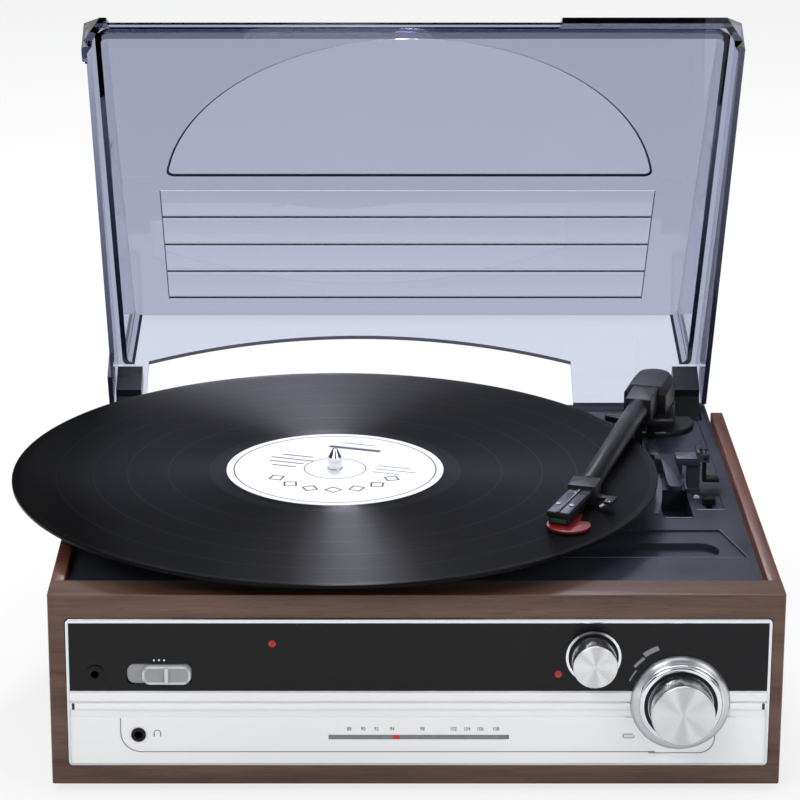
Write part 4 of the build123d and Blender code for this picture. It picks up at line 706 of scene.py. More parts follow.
# %% [markdown]
# A record's grooves run round the spindle, and light from a lamp shows in them as two bright
# fans. The anisotropic shader gives the fans, and the group cuts off the bump in the gaps
# between tracks, at the rim and round the label, where the vinyl is smooth and a little glossier.
# The gaps between tracks are also painted a little less black: a painted sheen.

# %% Vinyl
vinyl = new_material("vinyl")
tree = vinyl.node_tree
vector = coordinates(tree, spindle_at)
effect = placed_group(tree, grooves, vector)
flat, _ = distance_from_axis(tree, vector, (1, 1, 0))
rough = node(
    tree, "ShaderNodeMapRange", (-200, 0), in_Value=effect.outputs["Cut"], in_To_Min=0.3, in_To_Max=0.4
)
# The gaps between tracks are painted a little lighter: a painted sheen.
black_with_painted_sheen = colours(tree, effect.outputs["Gap"], srgb(9, 9, 10), srgb(14, 14, 15))
principled(
    tree, black_with_painted_sheen, rough.outputs["Result"], effect.outputs["Normal"], in_Anisotropic=1.0,
    in_Specular_IOR_Level=0.08, in_Tangent=flat,
)
print("finishes:", len(bpy.data.materials))

# %% [markdown]
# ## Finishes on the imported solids
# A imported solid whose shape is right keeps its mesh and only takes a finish. The table names
# every node, so that nothing keeps a plain colour, inside parts included.

# %% Dress the solids
dress = {
    side_wood: ["left_side_board", "right_side_board"],
    front_wood: ["front_frame"],
    base_wood: ["base_board", "corner_blocks"],
    deck_plastic: ["deck", "arm_rest"],
    arm_plastic: ["tonearm_base", "tonearm_turret", "tonearm_housing", "tonearm_tube", "headshell"],
    lever_plastic: ["cue_lever"],
    dark_plastic_and_shade: [
        "cartridge", "cue_pad", "arm_clip", "speaker_terminals", "rear_sockets", "speed_switch",
        "selector_switch", "volume_pot", "aux_socket", "headphone_socket", "speed_selector",
    ],
    rear_plastic: ["rear_cover"],
    panel_black: ["upper_panel"],
    hinge_black: ["lid_hinges"],
    inner_frame: ["fascia_frame", "tuning_drum"],
    soft_rubber: ["feet", "drive_belt"],
    felt_mat: ["slip_mat"],
    board_print: ["circuit_boards"],
    bright_plastic: ["function_selector"],
    chrome: ["fascia_trim", "spindle", "tuning_bezel"],
    ring_silver: ["volume_bezel"],
    volume_metal: ["volume_knob"],
    tuning_metal: ["tuning_knob"],
    dull_steel: [
        "hinge_brackets", "hinge_pins", "motor", "tuning_capacitor", "pointer_rail", "cabinet_screws",
    ],
    warm_brass: ["platter_bearing", "motor_pulley", "line_out_sockets"],
    cast_platter: ["platter"],
    silver_paint: ["lower_panel", "fascia_rail"],
    smoked: ["lid"],
    glow_red: ["power_led", "radio_led", "dial_pointer"],
    stylus_red: ["stylus"],
    dial_strip: ["dial_window"],
    vinyl: ["record"],
    label_paper: ["record_label"],
}
for finish, names in dress.items():
    for name in names:
        for place in frame["nodes"][name].material_slots:
            place.material = finish
bare = set(frame["nodes"]) - {name for names in dress.values() for name in names}
print("nodes without a finish:", sorted(bare))

# %% [markdown]
# ## Helpers for modelling
# New pieces are made with the operators a person would use: add a primitive, select by place,
# inset, extrude, bevel. An operator works on everything that is selected, so each helper
# starts by selecting one thing only. Faces, edges and points are then picked by a test.

# %% Selecting and applying


def only(piece):
    """Selects one object and makes it active."""
    bpy.ops.object.select_all(action="DESELECT")
    piece.select_set(True)
    bpy.context.view_layer.objects.active = piece


def settle(piece, place=None):
    """Applies a place to a piece, so that its object stands at the origin."""
    only(piece)
    if place is not None:
        piece.matrix_world = place @ piece.matrix_world
    bpy.ops.object.transform_apply(location=True, rotation=True, scale=True)
    return piece


def pick(piece, test, kind="FACE"):
    """Enters edit mode and selects the faces, edges or points that pass a test."""
    if piece.mode != "EDIT":
        only(piece)
        bpy.ops.object.mode_set(mode="EDIT")
    bpy.ops.mesh.select_mode(type=kind)
    bpy.ops.mesh.select_all(action="DESELECT")
    mesh = bmesh.from_edit_mesh(piece.data)
    found = {"FACE": mesh.faces, "EDGE": mesh.edges, "VERT": mesh.verts}[kind]
    count = 0
    for item in found:
        if test(item):
            item.select_set(True)
            count += 1
    bmesh.update_edit_mesh(piece.data)
    return count


def all_of_it(item):
    """A test that every face, edge or point passes."""
    return True


def point_outwards():
    """Turns all faces of the mesh in edit mode outwards."""
    bpy.ops.mesh.select_all(action="SELECT")
    bpy.ops.mesh.normals_make_consistent(inside=False)


def leave():
    """Back to object mode."""
    bpy.ops.object.mode_set(mode="OBJECT")


def edge_middle(edge):
    """The middle point of an edge."""
    return (edge.verts[0].co + edge.verts[1].co) / 2


def modify(piece, kind, **values):
    """Adds a modifier, sets it and applies it."""
    only(piece)
    bpy.ops.object.modifier_add(type=kind)
    modifier = piece.modifiers[-1]
    for key, value in values.items():
        setattr(modifier, key, value)
    bpy.ops.object.modifier_apply(modifier=modifier.name)


print("selecting helpers ready")

# %% [markdown]
# A finished piece gets a name, a finish, smooth shading up to an angle, and the body that it
# moves with. When it stands for a imported solid, the solid is hidden behind it. A copy of a
# imported solid is loose triangles at first, so its doubles are merged before use.

# %% Finishing a piece


def hand_over(piece, name, finish, body, stands_for=(), angle=35):
    """Names a piece, gives it its finish and shading, and lets it ride."""
    piece.name = name
    piece.data.name = name
    if finish is not None:
        piece.data.materials.clear()
        piece.data.materials.append(finish)
    only(piece)
    bpy.ops.object.shade_smooth_by_angle(angle=math.radians(angle))
    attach(piece, body)
    if stands_for:
        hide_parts(*stands_for)
    return piece


def second_finish(piece, finish, test):
    """Gives the faces that pass a test one more finish."""
    piece.data.materials.append(finish)
    index = len(piece.data.materials) - 1
    for face in piece.data.polygons:
        if test(face):
            face.material_index = index


def copy_solid(node_name):
    """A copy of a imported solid's mesh, with its loose triangles merged into flat faces."""
    source = frame["nodes"][node_name]
    copy = bpy.data.objects.new(node_name + "_copy", source.data.copy())
    bpy.context.scene.collection.objects.link(copy)
    only(copy)
    bpy.ops.object.mode_set(mode="EDIT")
    bpy.ops.mesh.select_all(action="SELECT")
    bpy.ops.mesh.remove_doubles(threshold=0.000002)
    bpy.ops.mesh.dissolve_limited(angle_limit=math.radians(0.6))
    leave()
    return copy


def round_edges(piece, width, segments=2, angle=32):
    """Rounds all edges sharper than an angle."""
    modify(
        piece, "BEVEL", width=width * MM, segments=segments, limit_method="ANGLE",
        angle_limit=math.radians(angle), use_clamp_overlap=True, harden_normals=False,
    )


def join(parts):
    """Joins pieces into the first one."""
    bpy.ops.object.select_all(action="DESELECT")
    for part in parts:
        part.select_set(True)
    bpy.context.view_layer.objects.active = parts[0]
    bpy.ops.object.join()
    return bpy.context.object


def copies(piece, places):
    """Copies of a piece, each with its own mesh, one at each place; the first is removed."""
    made = []
    for place in places:
        only(piece)
        bpy.ops.object.duplicate(linked=False)
        made.append(settle(bpy.context.object, place))
    bpy.data.objects.remove(piece)
    return made


print("finishing helpers ready")

# %% [markdown]
# Places are matrices. A small part is drawn flat in XY, in millimetres, and its place then
# moves, turns or stands it up. The front and the back of the cabinet have a matrix each.

# %% Places


def shift(x, y, z):
    """A move in millimetres."""
    return Matrix.Translation((x * MM, y * MM, z * MM))


def turn(degrees):
    """A turn about the vertical."""
    return Matrix.Rotation(math.radians(degrees), 4, "Z")


FACE_FRONT = Matrix.Rotation(math.radians(90), 4, "X")
FACE_BACK = Matrix.Rotation(math.radians(-90), 4, "X")


def on_front(y):
    """Places a plate drawn in XY on a front face: its X stays, its Y becomes height."""
    return Matrix.Translation((0, y, 0)) @ FACE_FRONT


def on_back(y):
    """Places a plate drawn in XY on a back face: its Y becomes depth downwards."""
    return Matrix.Translation((0, y, 0)) @ FACE_BACK


def about_knob(at, y):
    """Places a plate drawn round the origin on a front face, round a knob's line."""
    return Matrix.Translation((at.x, 0, at.z)) @ on_front(y)


print("places ready")

# %% [markdown]
# Plates and discs make the trims, prints and screw heads. A plate is a plane that is scaled,
# has its corners bevelled as points, and is extruded. A disc starts as a cylinder. Both can get
# a rounded rim, since no real part has a razor edge.

# %% Plates and discs


def plate(middle, size, corner, thick, place=Matrix.Identity(4), rim=0.0):
    """A flat plate with rounded corners, lying in XY before its place is applied."""
    bpy.ops.object.select_all(action="DESELECT")
    bpy.ops.mesh.primitive_plane_add(size=1, location=(middle[0] * MM, middle[1] * MM, 0))
    piece = bpy.context.object
    piece.scale = (size[0] * MM, size[1] * MM, 1)
    settle(piece)
    pick(piece, all_of_it, "VERT")
    if corner:
        bpy.ops.mesh.bevel(offset=corner * MM, segments=6, affect="VERTICES")
    pick(piece, all_of_it)
    bpy.ops.mesh.extrude_region_move(TRANSFORM_OT_translate={"value": (0, 0, thick * MM)})
    point_outwards()
    leave()
    if rim:
        round_edges(piece, rim, 2, 50)
    return settle(piece, place)


def disc(middle, radius, thick, place=Matrix.Identity(4), rim=0.0, sides=48):
    """A round plate, lying in XY before its place is applied."""
    bpy.ops.object.select_all(action="DESELECT")
    bpy.ops.mesh.primitive_cylinder_add(
        vertices=sides, radius=radius * MM, depth=thick * MM,
        location=(middle[0] * MM, middle[1] * MM, thick / 2 * MM),
    )
    piece = settle(bpy.context.object)
    if rim:
        round_edges(piece, rim, 3, 50)
    return settle(piece, place)


print("plates and discs ready")

# %% [markdown]
# A ring or part of one is spun, as on a lathe: a single edge between two radii turns about a
# centre. In spin a positive angle runs clockwise here, so the sweep's sign is changed. A whole
# turn ends where it began, and its double points are merged before the wall gets its thickness.

# %% Ribbons
WHOLE_TURN = 360


def ribbon(middle, low, high, start, sweep, thick, steps=24, place=Matrix.Identity(4)):
    """Part of a flat ring between two radii, from a start and over a sweep in degrees."""
    middle = Vector((middle[0] * MM, middle[1] * MM, 0))
    bpy.ops.object.select_all(action="DESELECT")
    bpy.ops.mesh.primitive_plane_add(size=1, location=(0, 0, 0))
    piece = bpy.context.object
    pick(piece, lambda v: v.co.y > 0, "VERT")
    bpy.ops.mesh.delete(type="VERT")
    way = Vector((math.cos(math.radians(start)), math.sin(math.radians(start)), 0))
    mesh = bmesh.from_edit_mesh(piece.data)
    mesh.verts.ensure_lookup_table()
    mesh.verts[0].co = middle + way * low * MM
    mesh.verts[1].co = middle + way * high * MM
    bmesh.update_edit_mesh(piece.data)
    bpy.ops.mesh.select_all(action="SELECT")
    bpy.ops.mesh.spin(steps=steps, angle=-math.radians(sweep), center=middle, axis=(0, 0, 1))
    bpy.ops.mesh.select_all(action="SELECT")
    if sweep == WHOLE_TURN:
        bpy.ops.mesh.remove_doubles(threshold=0.00001)
    bpy.ops.mesh.normals_make_consistent(inside=False)
    leave()
    modify(piece, "SOLIDIFY", thickness=thick * MM, offset=0, use_even_offset=True)
    piece.location.z = -min(v.co.z for v in piece.data.vertices)
    return settle(settle(piece), place)


print("ribbons ready")

# %% [markdown]
# A scribed or printed line is a thin round wire. The points of a circle are moved to where the
# line runs, the edge that would close it is taken out, and the corners are bevelled. The
# mesh then becomes a curve, gets its round section, and becomes a mesh again.

# %% Wires


def wire(points, radius, place=Matrix.Identity(4), corner=0.0):
    """A thin round line through three or more points in XY."""
    bpy.ops.object.select_all(action="DESELECT")
    bpy.ops.mesh.primitive_circle_add(vertices=len(points), radius=MM)
    piece = settle(bpy.context.object)
    pick(piece, all_of_it, "VERT")
    mesh = bmesh.from_edit_mesh(piece.data)
    mesh.verts.ensure_lookup_table()
    for vertex, point in zip(mesh.verts, points):
        vertex.co = (point[0] * MM, point[1] * MM, 0)
    first, last = mesh.verts[0], mesh.verts[len(points) - 1]
    for edge in [e for e in first.link_edges if last in e.verts]:
        mesh.edges.remove(edge)
    bmesh.update_edit_mesh(piece.data)
    if corner:
        bpy.ops.mesh.select_all(action="SELECT")
        bpy.ops.mesh.bevel(offset=corner * MM, segments=8, affect="VERTICES")
    leave()
    only(piece)
    bpy.ops.object.convert(target="CURVE")
    piece = bpy.context.object
    piece.data.bevel_depth = radius * MM
    piece.data.bevel_resolution = 2
    piece.data.use_fill_caps = True
    bpy.ops.object.convert(target="MESH")
    return settle(bpy.context.object, place)


print("wires ready")

# %% [markdown]
# ## The lid
# The lid is one moulding of smoked acrylic. The inner face of its big panel has a shallow
# D-shaped field and four louvres. They are drawn flat, and one matrix lays them on the panel:
# X along the hinge, Y down the open panel, Z outwards, from the middle of the panel's front end.

# %% Place on the lid
PANEL_FRONT = Vector((0, -95.5, 111.5)) * MM  # ends of the panel's inner face, with the lid shut
PANEL_REAR = Vector((0, 132.3, 155.5)) * MM
opening = Matrix.Rotation(-lid_open, 4, "X")
run = opening @ (PANEL_REAR - PANEL_FRONT).normalized()
outward = Vector((1, 0, 0)).cross(run)
start = hinge_at + opening @ (PANEL_FRONT - Vector((0, hinge_at.y, hinge_at.z)))
start.x = 0
lid_axes = Matrix((Vector((1, 0, 0)), run, outward)).transposed().to_4x4()
lid_place = Matrix.Translation(start) @ lid_axes
print("panel starts at", [round(v / MM, 1) for v in start], "runs", [round(v, 3) for v in run])

# %% [markdown]
# The field is a circle cut off straight, with its two corners rounded as points. A copy of its
# outline becomes a dark line, painted shade where its step is, and the shape itself is extruded
# into a cutter. It starts below the face, so that the boolean finds no two faces in one plane.

# %% The D-shaped field
D_RADIUS = 121.8
D_CENTRE = 126.4
D_FLAT = 110.5
D_CORNER = 4.6
D_DEPTH = 0.5
D_SHADE_INSET, D_SHADE_THICK = 1.2, 0.16
BELOW = 1  # how far a cutter starts below the face
bpy.ops.object.select_all(action="DESELECT")
bpy.ops.mesh.primitive_circle_add(
    vertices=100, radius=D_RADIUS * MM, fill_type="NGON", location=(0, D_CENTRE * MM, -BELOW * MM)
)
field = settle(bpy.context.object)
pick(field, all_of_it)
bpy.ops.mesh.bisect(plane_co=(0, D_FLAT * MM, 0), plane_no=(0, 1, 0), clear_outer=True)
corners = pick(field, lambda v: v.co.y > (D_FLAT - 0.1) * MM, "VERT")
bpy.ops.mesh.bevel(offset=D_CORNER * MM, segments=6, affect="VERTICES")
leave()
only(field)
bpy.ops.object.duplicate(linked=False)
shade_outline = bpy.context.object
pick(shade_outline, all_of_it)
bpy.ops.mesh.inset(thickness=D_SHADE_INSET * MM, depth=0)
bpy.ops.mesh.delete(type="FACE")
leave()
# The outline becomes a dark ring: painted shade for the field's step.
modify(shade_outline, "SOLIDIFY", thickness=D_SHADE_THICK * MM, offset=0)
settle(shade_outline, lid_place @ shift(0, 0, D_DEPTH + BELOW - 0.05))
hand_over(shade_outline, "lid_field_painted_shade", lid_painted_shade_line, "lid", angle=60)
pick(field, all_of_it)
bpy.ops.mesh.extrude_region_move(TRANSFORM_OT_translate={"value": (0, 0, (D_DEPTH + BELOW) * MM)})
point_outwards()
leave()
print("rounded corners of the D:", corners)

# %% [markdown]
# A louvre is a shallow ramp that ends in a step. One cutter is a box whose far edge is raised,
# so that it cuts deeper there, and three copies of it follow at an even pitch.

# %% Louvre cutters
LOUVRE_TOP = 122.3
LOUVRE_PITCH = 23.4
LOUVRE_RUN = LOUVRE_PITCH - 0.7  # a narrow land stays between two louvres
LOUVRE_DEPTH = 0.9
LOUVRE_WIDTH = 246.8
LOUVRE_X = -0.7
bpy.ops.object.select_all(action="DESELECT")
bpy.ops.mesh.primitive_cube_add(
    size=1, location=(LOUVRE_X * MM, (LOUVRE_TOP + LOUVRE_RUN / 2) * MM, -0.95 * MM)
)
louvre = bpy.context.object
louvre.scale = (LOUVRE_WIDTH * MM, LOUVRE_RUN * MM, 2.1 * MM)
settle(louvre)
pick(louvre, lambda v: v.co.z > 0 and v.co.y > (LOUVRE_TOP + 5) * MM, "VERT")
bpy.ops.transform.translate(value=(0, 0, LOUVRE_DEPTH * MM))
leave()
louvres = copies(louvre, [shift(0, step * LOUVRE_PITCH, 0) for step in range(4)])
cutter = settle(join([field, *louvres]), lid_place)
print("cutter faces:", len(cutter.data.polygons))

# %% [markdown]
# The cutters are taken away from a copy of the solid with a boolean, so that the wall stays
# one piece and refracts as one piece. The moulding's edges are rounded first, because the thin
# bright and dark lines along them are what makes clear plastic read as plastic. A boolean
# leaves long thin faces, and weighted normals keep the flat faces from shading like waves.

# %% Lid
lid_piece = copy_solid("lid")
before = len(lid_piece.data.polygons)
round_edges(lid_piece, 0.5, 2, 35)
modify(lid_piece, "BOOLEAN", operation="DIFFERENCE", object=cutter, solver="EXACT")
bpy.data.objects.remove(cutter)
pick(lid_piece, all_of_it)
bpy.ops.mesh.normals_make_consistent(inside=False)
leave()
hand_over(lid_piece, "smoked_lid", smoked, "lid", ("lid",), 25)
modify(lid_piece, "WEIGHTED_NORMAL", mode="FACE_AREA", weight=100, keep_sharp=True)
print("lid faces:", before, "to", len(lid_piece.data.polygons))

# %% [markdown]
# The face of the rear wall takes a paler tint than the panel, though it is the same plastic:
# painted light where the wall looks brighter. The cut edges of the slot for the record's rim are
# opaque grey, painted light where light scatters at an edge. The ends of the louvres, which are
# two hair-thin plates, are the same painted light.

# %% Painted light on the lid
REAR_WALL_TOP = 0.13  # the rear wall's faces lie below this height when the lid is open
SLOT_TOP, SLOT_HALF = 0.122, 0.145
rear_facing = opening @ Vector((0, -1, 0))


def faces_rear(face):
    """How squarely a face looks along the rear wall's own direction, from 0 to 1."""
    return abs(face.normal.dot(rear_facing))


def is_rear_wall(face):
    """The flat of the rear wall."""
    return faces_rear(face) > 0.97 and face.center.z < REAR_WALL_TOP


def is_slot_edge(face):
    """A cut edge of the slot for the record's rim."""
    return faces_rear(face) < 0.1 and face.center.z < SLOT_TOP and abs(face.center.x) < SLOT_HALF


# The paler rear wall and the grey slot edges are painted light.
second_finish(lid_piece, smoked_painted_light, is_rear_wall)
second_finish(lid_piece, lid_painted_edge_light, is_slot_edge)
LOUVRE_MIDDLE = LOUVRE_TOP + 2 * LOUVRE_PITCH
# Grey plates at the louvres' ends are painted light.
louvre_end_lights = [
    plate((x + LOUVRE_X, LOUVRE_MIDDLE), (0.5, 4 * LOUVRE_PITCH), 0.0, 0.1, lid_place @ shift(0, 0, -0.08))
    for x in (-LOUVRE_WIDTH / 2, LOUVRE_WIDTH / 2)
]
hand_over(join(louvre_end_lights), "lid_louvre_end_painted_light", lid_painted_edge_light, "lid")
print("rear wall faces:", sum(is_rear_wall(f) for f in lid_piece.data.polygons))

# %% [markdown]
# ## The record and its label
# A record isn't a plain disc. It has a raised rim, a sunk band of grooves, a smooth run-out and
# a flat seat for the label. Insets and small moves of the top face of a cylinder make that
# profile, and bridging the two rings of the spindle hole gives the hole its wall.

# %% Record
RECORD_STEPS = (  # radius of each ring, and how far what lies inside it sinks, on both sides
    (149.6, 0.0), (148.2, 0.22), (59.0, 0.0), (56.0, -0.08), (52.0, 0.0), (51.3, -0.14), (3.7, 0.0),
)
HOLE_REACH = 3.8 * MM
thick = record_high.z - record_low.z
bpy.ops.object.select_all(action="DESELECT")
bpy.ops.mesh.primitive_cylinder_add(
    vertices=256, radius=record_radius, depth=thick,
    location=(spindle_at.x, spindle_at.y, record_low.z + thick / 2),
)
disc_piece = settle(bpy.context.object)


def from_spindle(edge):
    """Distance of an edge's middle from the spindle's line."""
    point = edge_middle(edge)
    return math.hypot(point.x - spindle_at.x, point.y - spindle_at.y)


def is_level(edge):
    """An edge that doesn't rise."""
    return abs(edge.verts[0].co.z - edge.verts[1].co.z) < 1e-6


for side in (1, -1):
    pick(disc_piece, lambda f: f.normal.z * side > 0.9)
    reached = record_radius
    for radius, drop in RECORD_STEPS:
        bpy.ops.mesh.inset(thickness=reached - radius * MM, depth=0)
        bpy.ops.transform.translate(value=(0, 0, -drop * side * MM))
        reached = radius * MM
    bpy.ops.mesh.delete(type="FACE")
pick(disc_piece, lambda e: from_spindle(e) < HOLE_REACH and len(e.link_faces) == 1, "EDGE")
bpy.ops.mesh.bridge_edge_loops()
pick(disc_piece, lambda e: from_spindle(e) > record_radius - 0.1 * MM and is_level(e), "EDGE")
bpy.ops.mesh.bevel(offset=0.35 * MM, segments=3, affect="EDGES")
leave()
hand_over(disc_piece, "long_playing_record", vinyl, "turntable", ("record",), 20)
print("record faces:", len(disc_piece.data.polygons))

# %% [markdown]
# The label is white paper with dark print. The print here is a plain pattern of rings, bars and
# lozenges, thin enough to read as ink. One lozenge is made, then copied round an arc. The whole
# print is turned a little, since a record never stops with its label straight.

# %% Label print
INK = 0.05
RINGS = ((47.0, 47.6, 96), (14.2, 14.7, 48))  # two radii, and steps round
LONG_BARS = ((-30, 15), (-34, 21), (-33, 17), (-30, 12))  # left end and width, from the top down
SHORT_BARS = ((18, 16), (18, 20), (18, 13))
inks = [ribbon((0, 0), low, high, 0, WHOLE_TURN, INK, steps) for low, high, steps in RINGS]
bpy.ops.object.select_all(action="DESELECT")
bpy.ops.mesh.primitive_circle_add(vertices=4, radius=4.4 * MM, fill_type="NGON", location=(0, -30 * MM, 0))
lozenge = settle(bpy.context.object)
pick(lozenge, all_of_it)
bpy.ops.mesh.inset(thickness=0.9 * MM, depth=0)
bpy.ops.mesh.delete(type="FACE")
leave()
modify(lozenge, "SOLIDIFY", thickness=INK * MM, offset=1)
inks += copies(lozenge, [turn((step - 2.2) * 21) for step in range(7)])
for row, (left, wide) in enumerate(LONG_BARS):
    inks.append(plate((left + wide / 2, 12 - row * 5.2), (wide, 1.1), 0.4, INK))
for row, (left, wide) in enumerate(SHORT_BARS):
    inks.append(plate((left + wide / 2, 10 - row * 4.6), (wide, 0.7), 0.3, INK))
inks.append(plate((0, 30), (26, 3.0), 1.4, INK))
inks.append(plate((0, 37), (15, 0.8), 0.3, INK))
label_marks = settle(join(inks), turn(-18))
label_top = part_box("record_label")[1].z
settle(label_marks, Matrix.Translation((spindle_at.x, spindle_at.y, label_top - 0.02 * MM)))
hand_over(label_marks, "label_marks", label_print, "turntable")
print("label marks:", len(label_marks.data.polygons), "faces")

# %% [markdown]
# ## The front panel
# Chrome trim, a black panel, two white ribs and a nearly white lower panel. Prints and scribed
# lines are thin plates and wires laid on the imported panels. Lettering is left off, and the dial
# carries plain numbers: text objects, squeezed a little, made a mesh and stood on the panel.

# %% Dial numbers
front_y = panel_y - 0.04 * MM  # prints stand this little off the panel
PRINT = 0.05
NUMBER_Z = 25.2
NUMBER_SIZE = 2.5
NUMBERS = (
    ("88", -29.1), ("90", -23.0), ("92", -17.2), ("94", -10.4), ("98", 2.8),
    ("102", 16.3), ("104", 22.2), ("106", 28.0), ("108", 34.8),
)
numbers = []
for text, x in NUMBERS:
    bpy.ops.object.select_all(action="DESELECT")
    bpy.ops.object.text_add(location=(0, 0, 0))
    words = bpy.context.object
    words.data.body = text
    words.data.align_x = "CENTER"
    words.data.size = NUMBER_SIZE * MM
    words.data.extrude = 0.02 * MM
    words.data.resolution_u = 3
    words.scale = (0.82, 1, 1)
    bpy.ops.object.convert(target="MESH")
    number = settle(bpy.context.object)
    numbers.append(settle(number, shift(x, 0, NUMBER_Z) @ on_front(front_y)))
hand_over(join(numbers), "dial_numbers", dark_print_and_shade, "cabinet")
print("numbers:", len(numbers))

# %% [markdown]
# A fine line is scribed round the lower panel, and a grey wire on the panel paints the shade in
# it. It starts beside the headphone socket, runs along the bottom, and ends under the volume
# ring, where the panel has a raised collar: that end of the line is a second wire, on the
# collar's own face.

# %% Scribed line
GROOVE = 0.22
GROOVE_Z = 15.2
# The grey wire paints the shade in the scribed line.
panel_line = wire(
    [(-128.8, 31.0), (-128.8, GROOVE_Z), (104.5, GROOVE_Z)], GROOVE, on_front(panel_y), corner=9.0
)
collar_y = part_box("lower_panel")[0].y
collar_line = wire(
    [(101.5, GROOVE_Z), (130.2, GROOVE_Z), (130.2, 23.5)], GROOVE, on_front(collar_y), corner=7.0
)
panel_line = join([panel_line, collar_line])
hand_over(panel_line, "lower_panel_groove_shade", grey_print_and_shade, "cabinet", angle=60)
print("scribed line:", len(panel_line.data.polygons), "faces")

# %% [markdown]
# Three printed bars thicken round the volume knob and show which way is louder. Each is part of
# a ring, so a ribbon as thin as paint makes it, drawn round the origin and then placed.

# %% Volume bars
VOLUME_BARS = (  # start and sweep in degrees, two radii
    (156, -13.5, 24.0, 24.7), (140.8, -13, 25.4, 26.7), (126.4, -15, 26.1, 28.3),
)
bars = join([ribbon((0, 0), low, high, begin, sweep, PRINT, 10) for begin, sweep, low, high in VOLUME_BARS])
settle(bars, about_knob(volume_at, front_y))
hand_over(bars, "volume_bars", grey_print_and_shade, "cabinet")
print("volume bars:", len(VOLUME_BARS))

# %% [markdown]
# Three dots over the function selector mark its places, and a pill-shaped sign stands beside
# the volume knob. One dot is made and copied. The pill is a grey plate with a pale one on it,
# whose corners are rounded so far that its ends are half circles.

# %% Dots and pill
dot = disc((0, 0), 0.45, PRINT, sides=16)
dots = copies(dot, [on_front(front_y) @ shift(x, 58.3, 0) for x in (-113.7, -111.5, -109.3)])
hand_over(join(dots), "selector_dots", white_print, "cabinet")
PILL_AT = (92.8, 22.7)
pill = plate(PILL_AT, (5.2, 2.1), 1.02, 0.06, on_front(front_y))
hand_over(pill, "volume_pill", grey_print_and_shade, "cabinet")
pill_core = plate(PILL_AT, (4.4, 1.4), 0.68, 0.06, on_front(front_y - 0.03 * MM))
hand_over(pill_core, "volume_pill_core", white_print, "cabinet")
print("dots:", len(dots))

# %% [markdown]
# The headphone socket has a sign: a bow, which is half a ring, and two cups, which are small
# plates with rounded corners. Joined, they are one print.

# %% Headphone sign
bow = ribbon((0, 0), 1.25, 1.6, 0, 180, PRINT, 16)
cups = copies(plate((0, -0.75), (0.55, 1.7), 0.2, PRINT), [shift(x, 0, 0) for x in (-1.4, 1.4)])
sign = settle(join([bow, *cups]), shift(-112.8, 0, 24.0) @ on_front(front_y))
hand_over(sign, "headphone_sign", grey_print_and_shade, "cabinet")
print("headphone sign:", len(sign.data.polygons), "faces")

# %% [markdown]
# The trim, the ribs and the cabinet's boards get their edges rounded, so that each carries a
# thin highlight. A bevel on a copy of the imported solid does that, and the solid stays exact.

# %% Rounded front and boards
for name, finish, slot_name, width in (
    ("fascia_trim", chrome, "chrome_trim", 0.35),
    ("fascia_rail", silver_paint, "silver_panel", 0.3),
    ("front_frame", front_wood, "wood", 0.5),
    ("left_side_board", side_wood, "wood", 0.5),
    ("right_side_board", side_wood, "wood", 0.5),
):
    part = copy_solid(name)
    round_edges(part, width)
    hand_over(part, name + "_rounded", finish, "cabinet", (name,))
    print(name, len(part.data.polygons), "faces")

# %% [markdown]
# At each end of the lower rib stands a small slot, where the rib is plugged in. Two thin dark
# plates just proud of the rib are the painted shade in the slots, which is enough, because nobody
# sees into them.

# %% Painted shade in the slots at the rib's ends
RIB_Z = 37.1
rail_low, rail_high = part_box("fascia_rail")
# The dark plates are painted shade for the slots.
rib_slot_shades = [
    plate((x, RIB_Z), (1.2, 3.0), 0.3, 0.1, on_front(panel_y - 1.18 * MM))
    for x in (rail_low.x / MM + 1.4, rail_high.x / MM - 1.4)
]
hand_over(join(rib_slot_shades), "rail_end_slot_shades", dark_print_and_shade, "cabinet")
print("slots:", len(rib_slot_shades))

# %% [markdown]
# The function selector slides in a shallow grey well. The well is a plate with a rounded rim,
# and the knob is a bar with rounded ends, a raised rim and a finger ridge across it. Its sunk
# faces take the grey of the well, as on the real knob. A stem joins it to its switch.

# %% Function selector
WELL_X = -111.45
knob_at = centre("function_selector") / MM
knob_x, knob_z = knob_at.x, knob_at.z
well = plate((WELL_X, knob_z), (28.1, 9.2), 3.6, 0.5, on_front(panel_y + 1.1 * MM), 0.1)
hand_over(well, "selector_well", selector_grey_and_highlight, "cabinet")
bar = plate((knob_x, knob_z), (21.0, 8.4), 3.4, 2.4, on_front(panel_y + 0.2 * MM))
pick(bar, lambda f: f.normal.y < -0.9)
bpy.ops.mesh.inset(thickness=0.7 * MM, depth=0)
bpy.ops.mesh.inset(thickness=0.25 * MM, depth=-0.3 * MM)
leave()
round_edges(bar, 0.2, 2, 50)
ridge = plate((knob_x, knob_z), (1.7, 7.6), 0.7, 1.3, on_front(panel_y - 1.85 * MM), 0.3)
stem = plate((knob_x, knob_z), (5.0, 3.0), 0.4, 5.5, on_front(panel_y + 5.6 * MM), 0.1)
selector = join([bar, ridge, stem])
hand_over(
    selector, "selector_knob", bright_plastic, "function_selector", ("function_selector",)
)


def is_sunk(face):
    """A face of the selector's knob that looks forward from inside its rim."""
    off_x, off_z = abs(face.center.x - knob_x * MM), abs(face.center.z - knob_z * MM)
    inside = off_x < 9.7 * MM and off_z < 3.4 * MM
    return inside and face.normal.y < -0.9 and face.center.y > panel_y - 2.3 * MM


second_finish(selector, selector_grey_and_highlight, is_sunk)
print("sunk faces:", sum(is_sunk(f) for f in selector.data.polygons))

# %% [markdown]
# ## Knobs and rings
# The volume ring is a satin collar with a polished inner step. Both of its front edges are
# round: they are picked by their distance from the knob's own line, and bevelled.

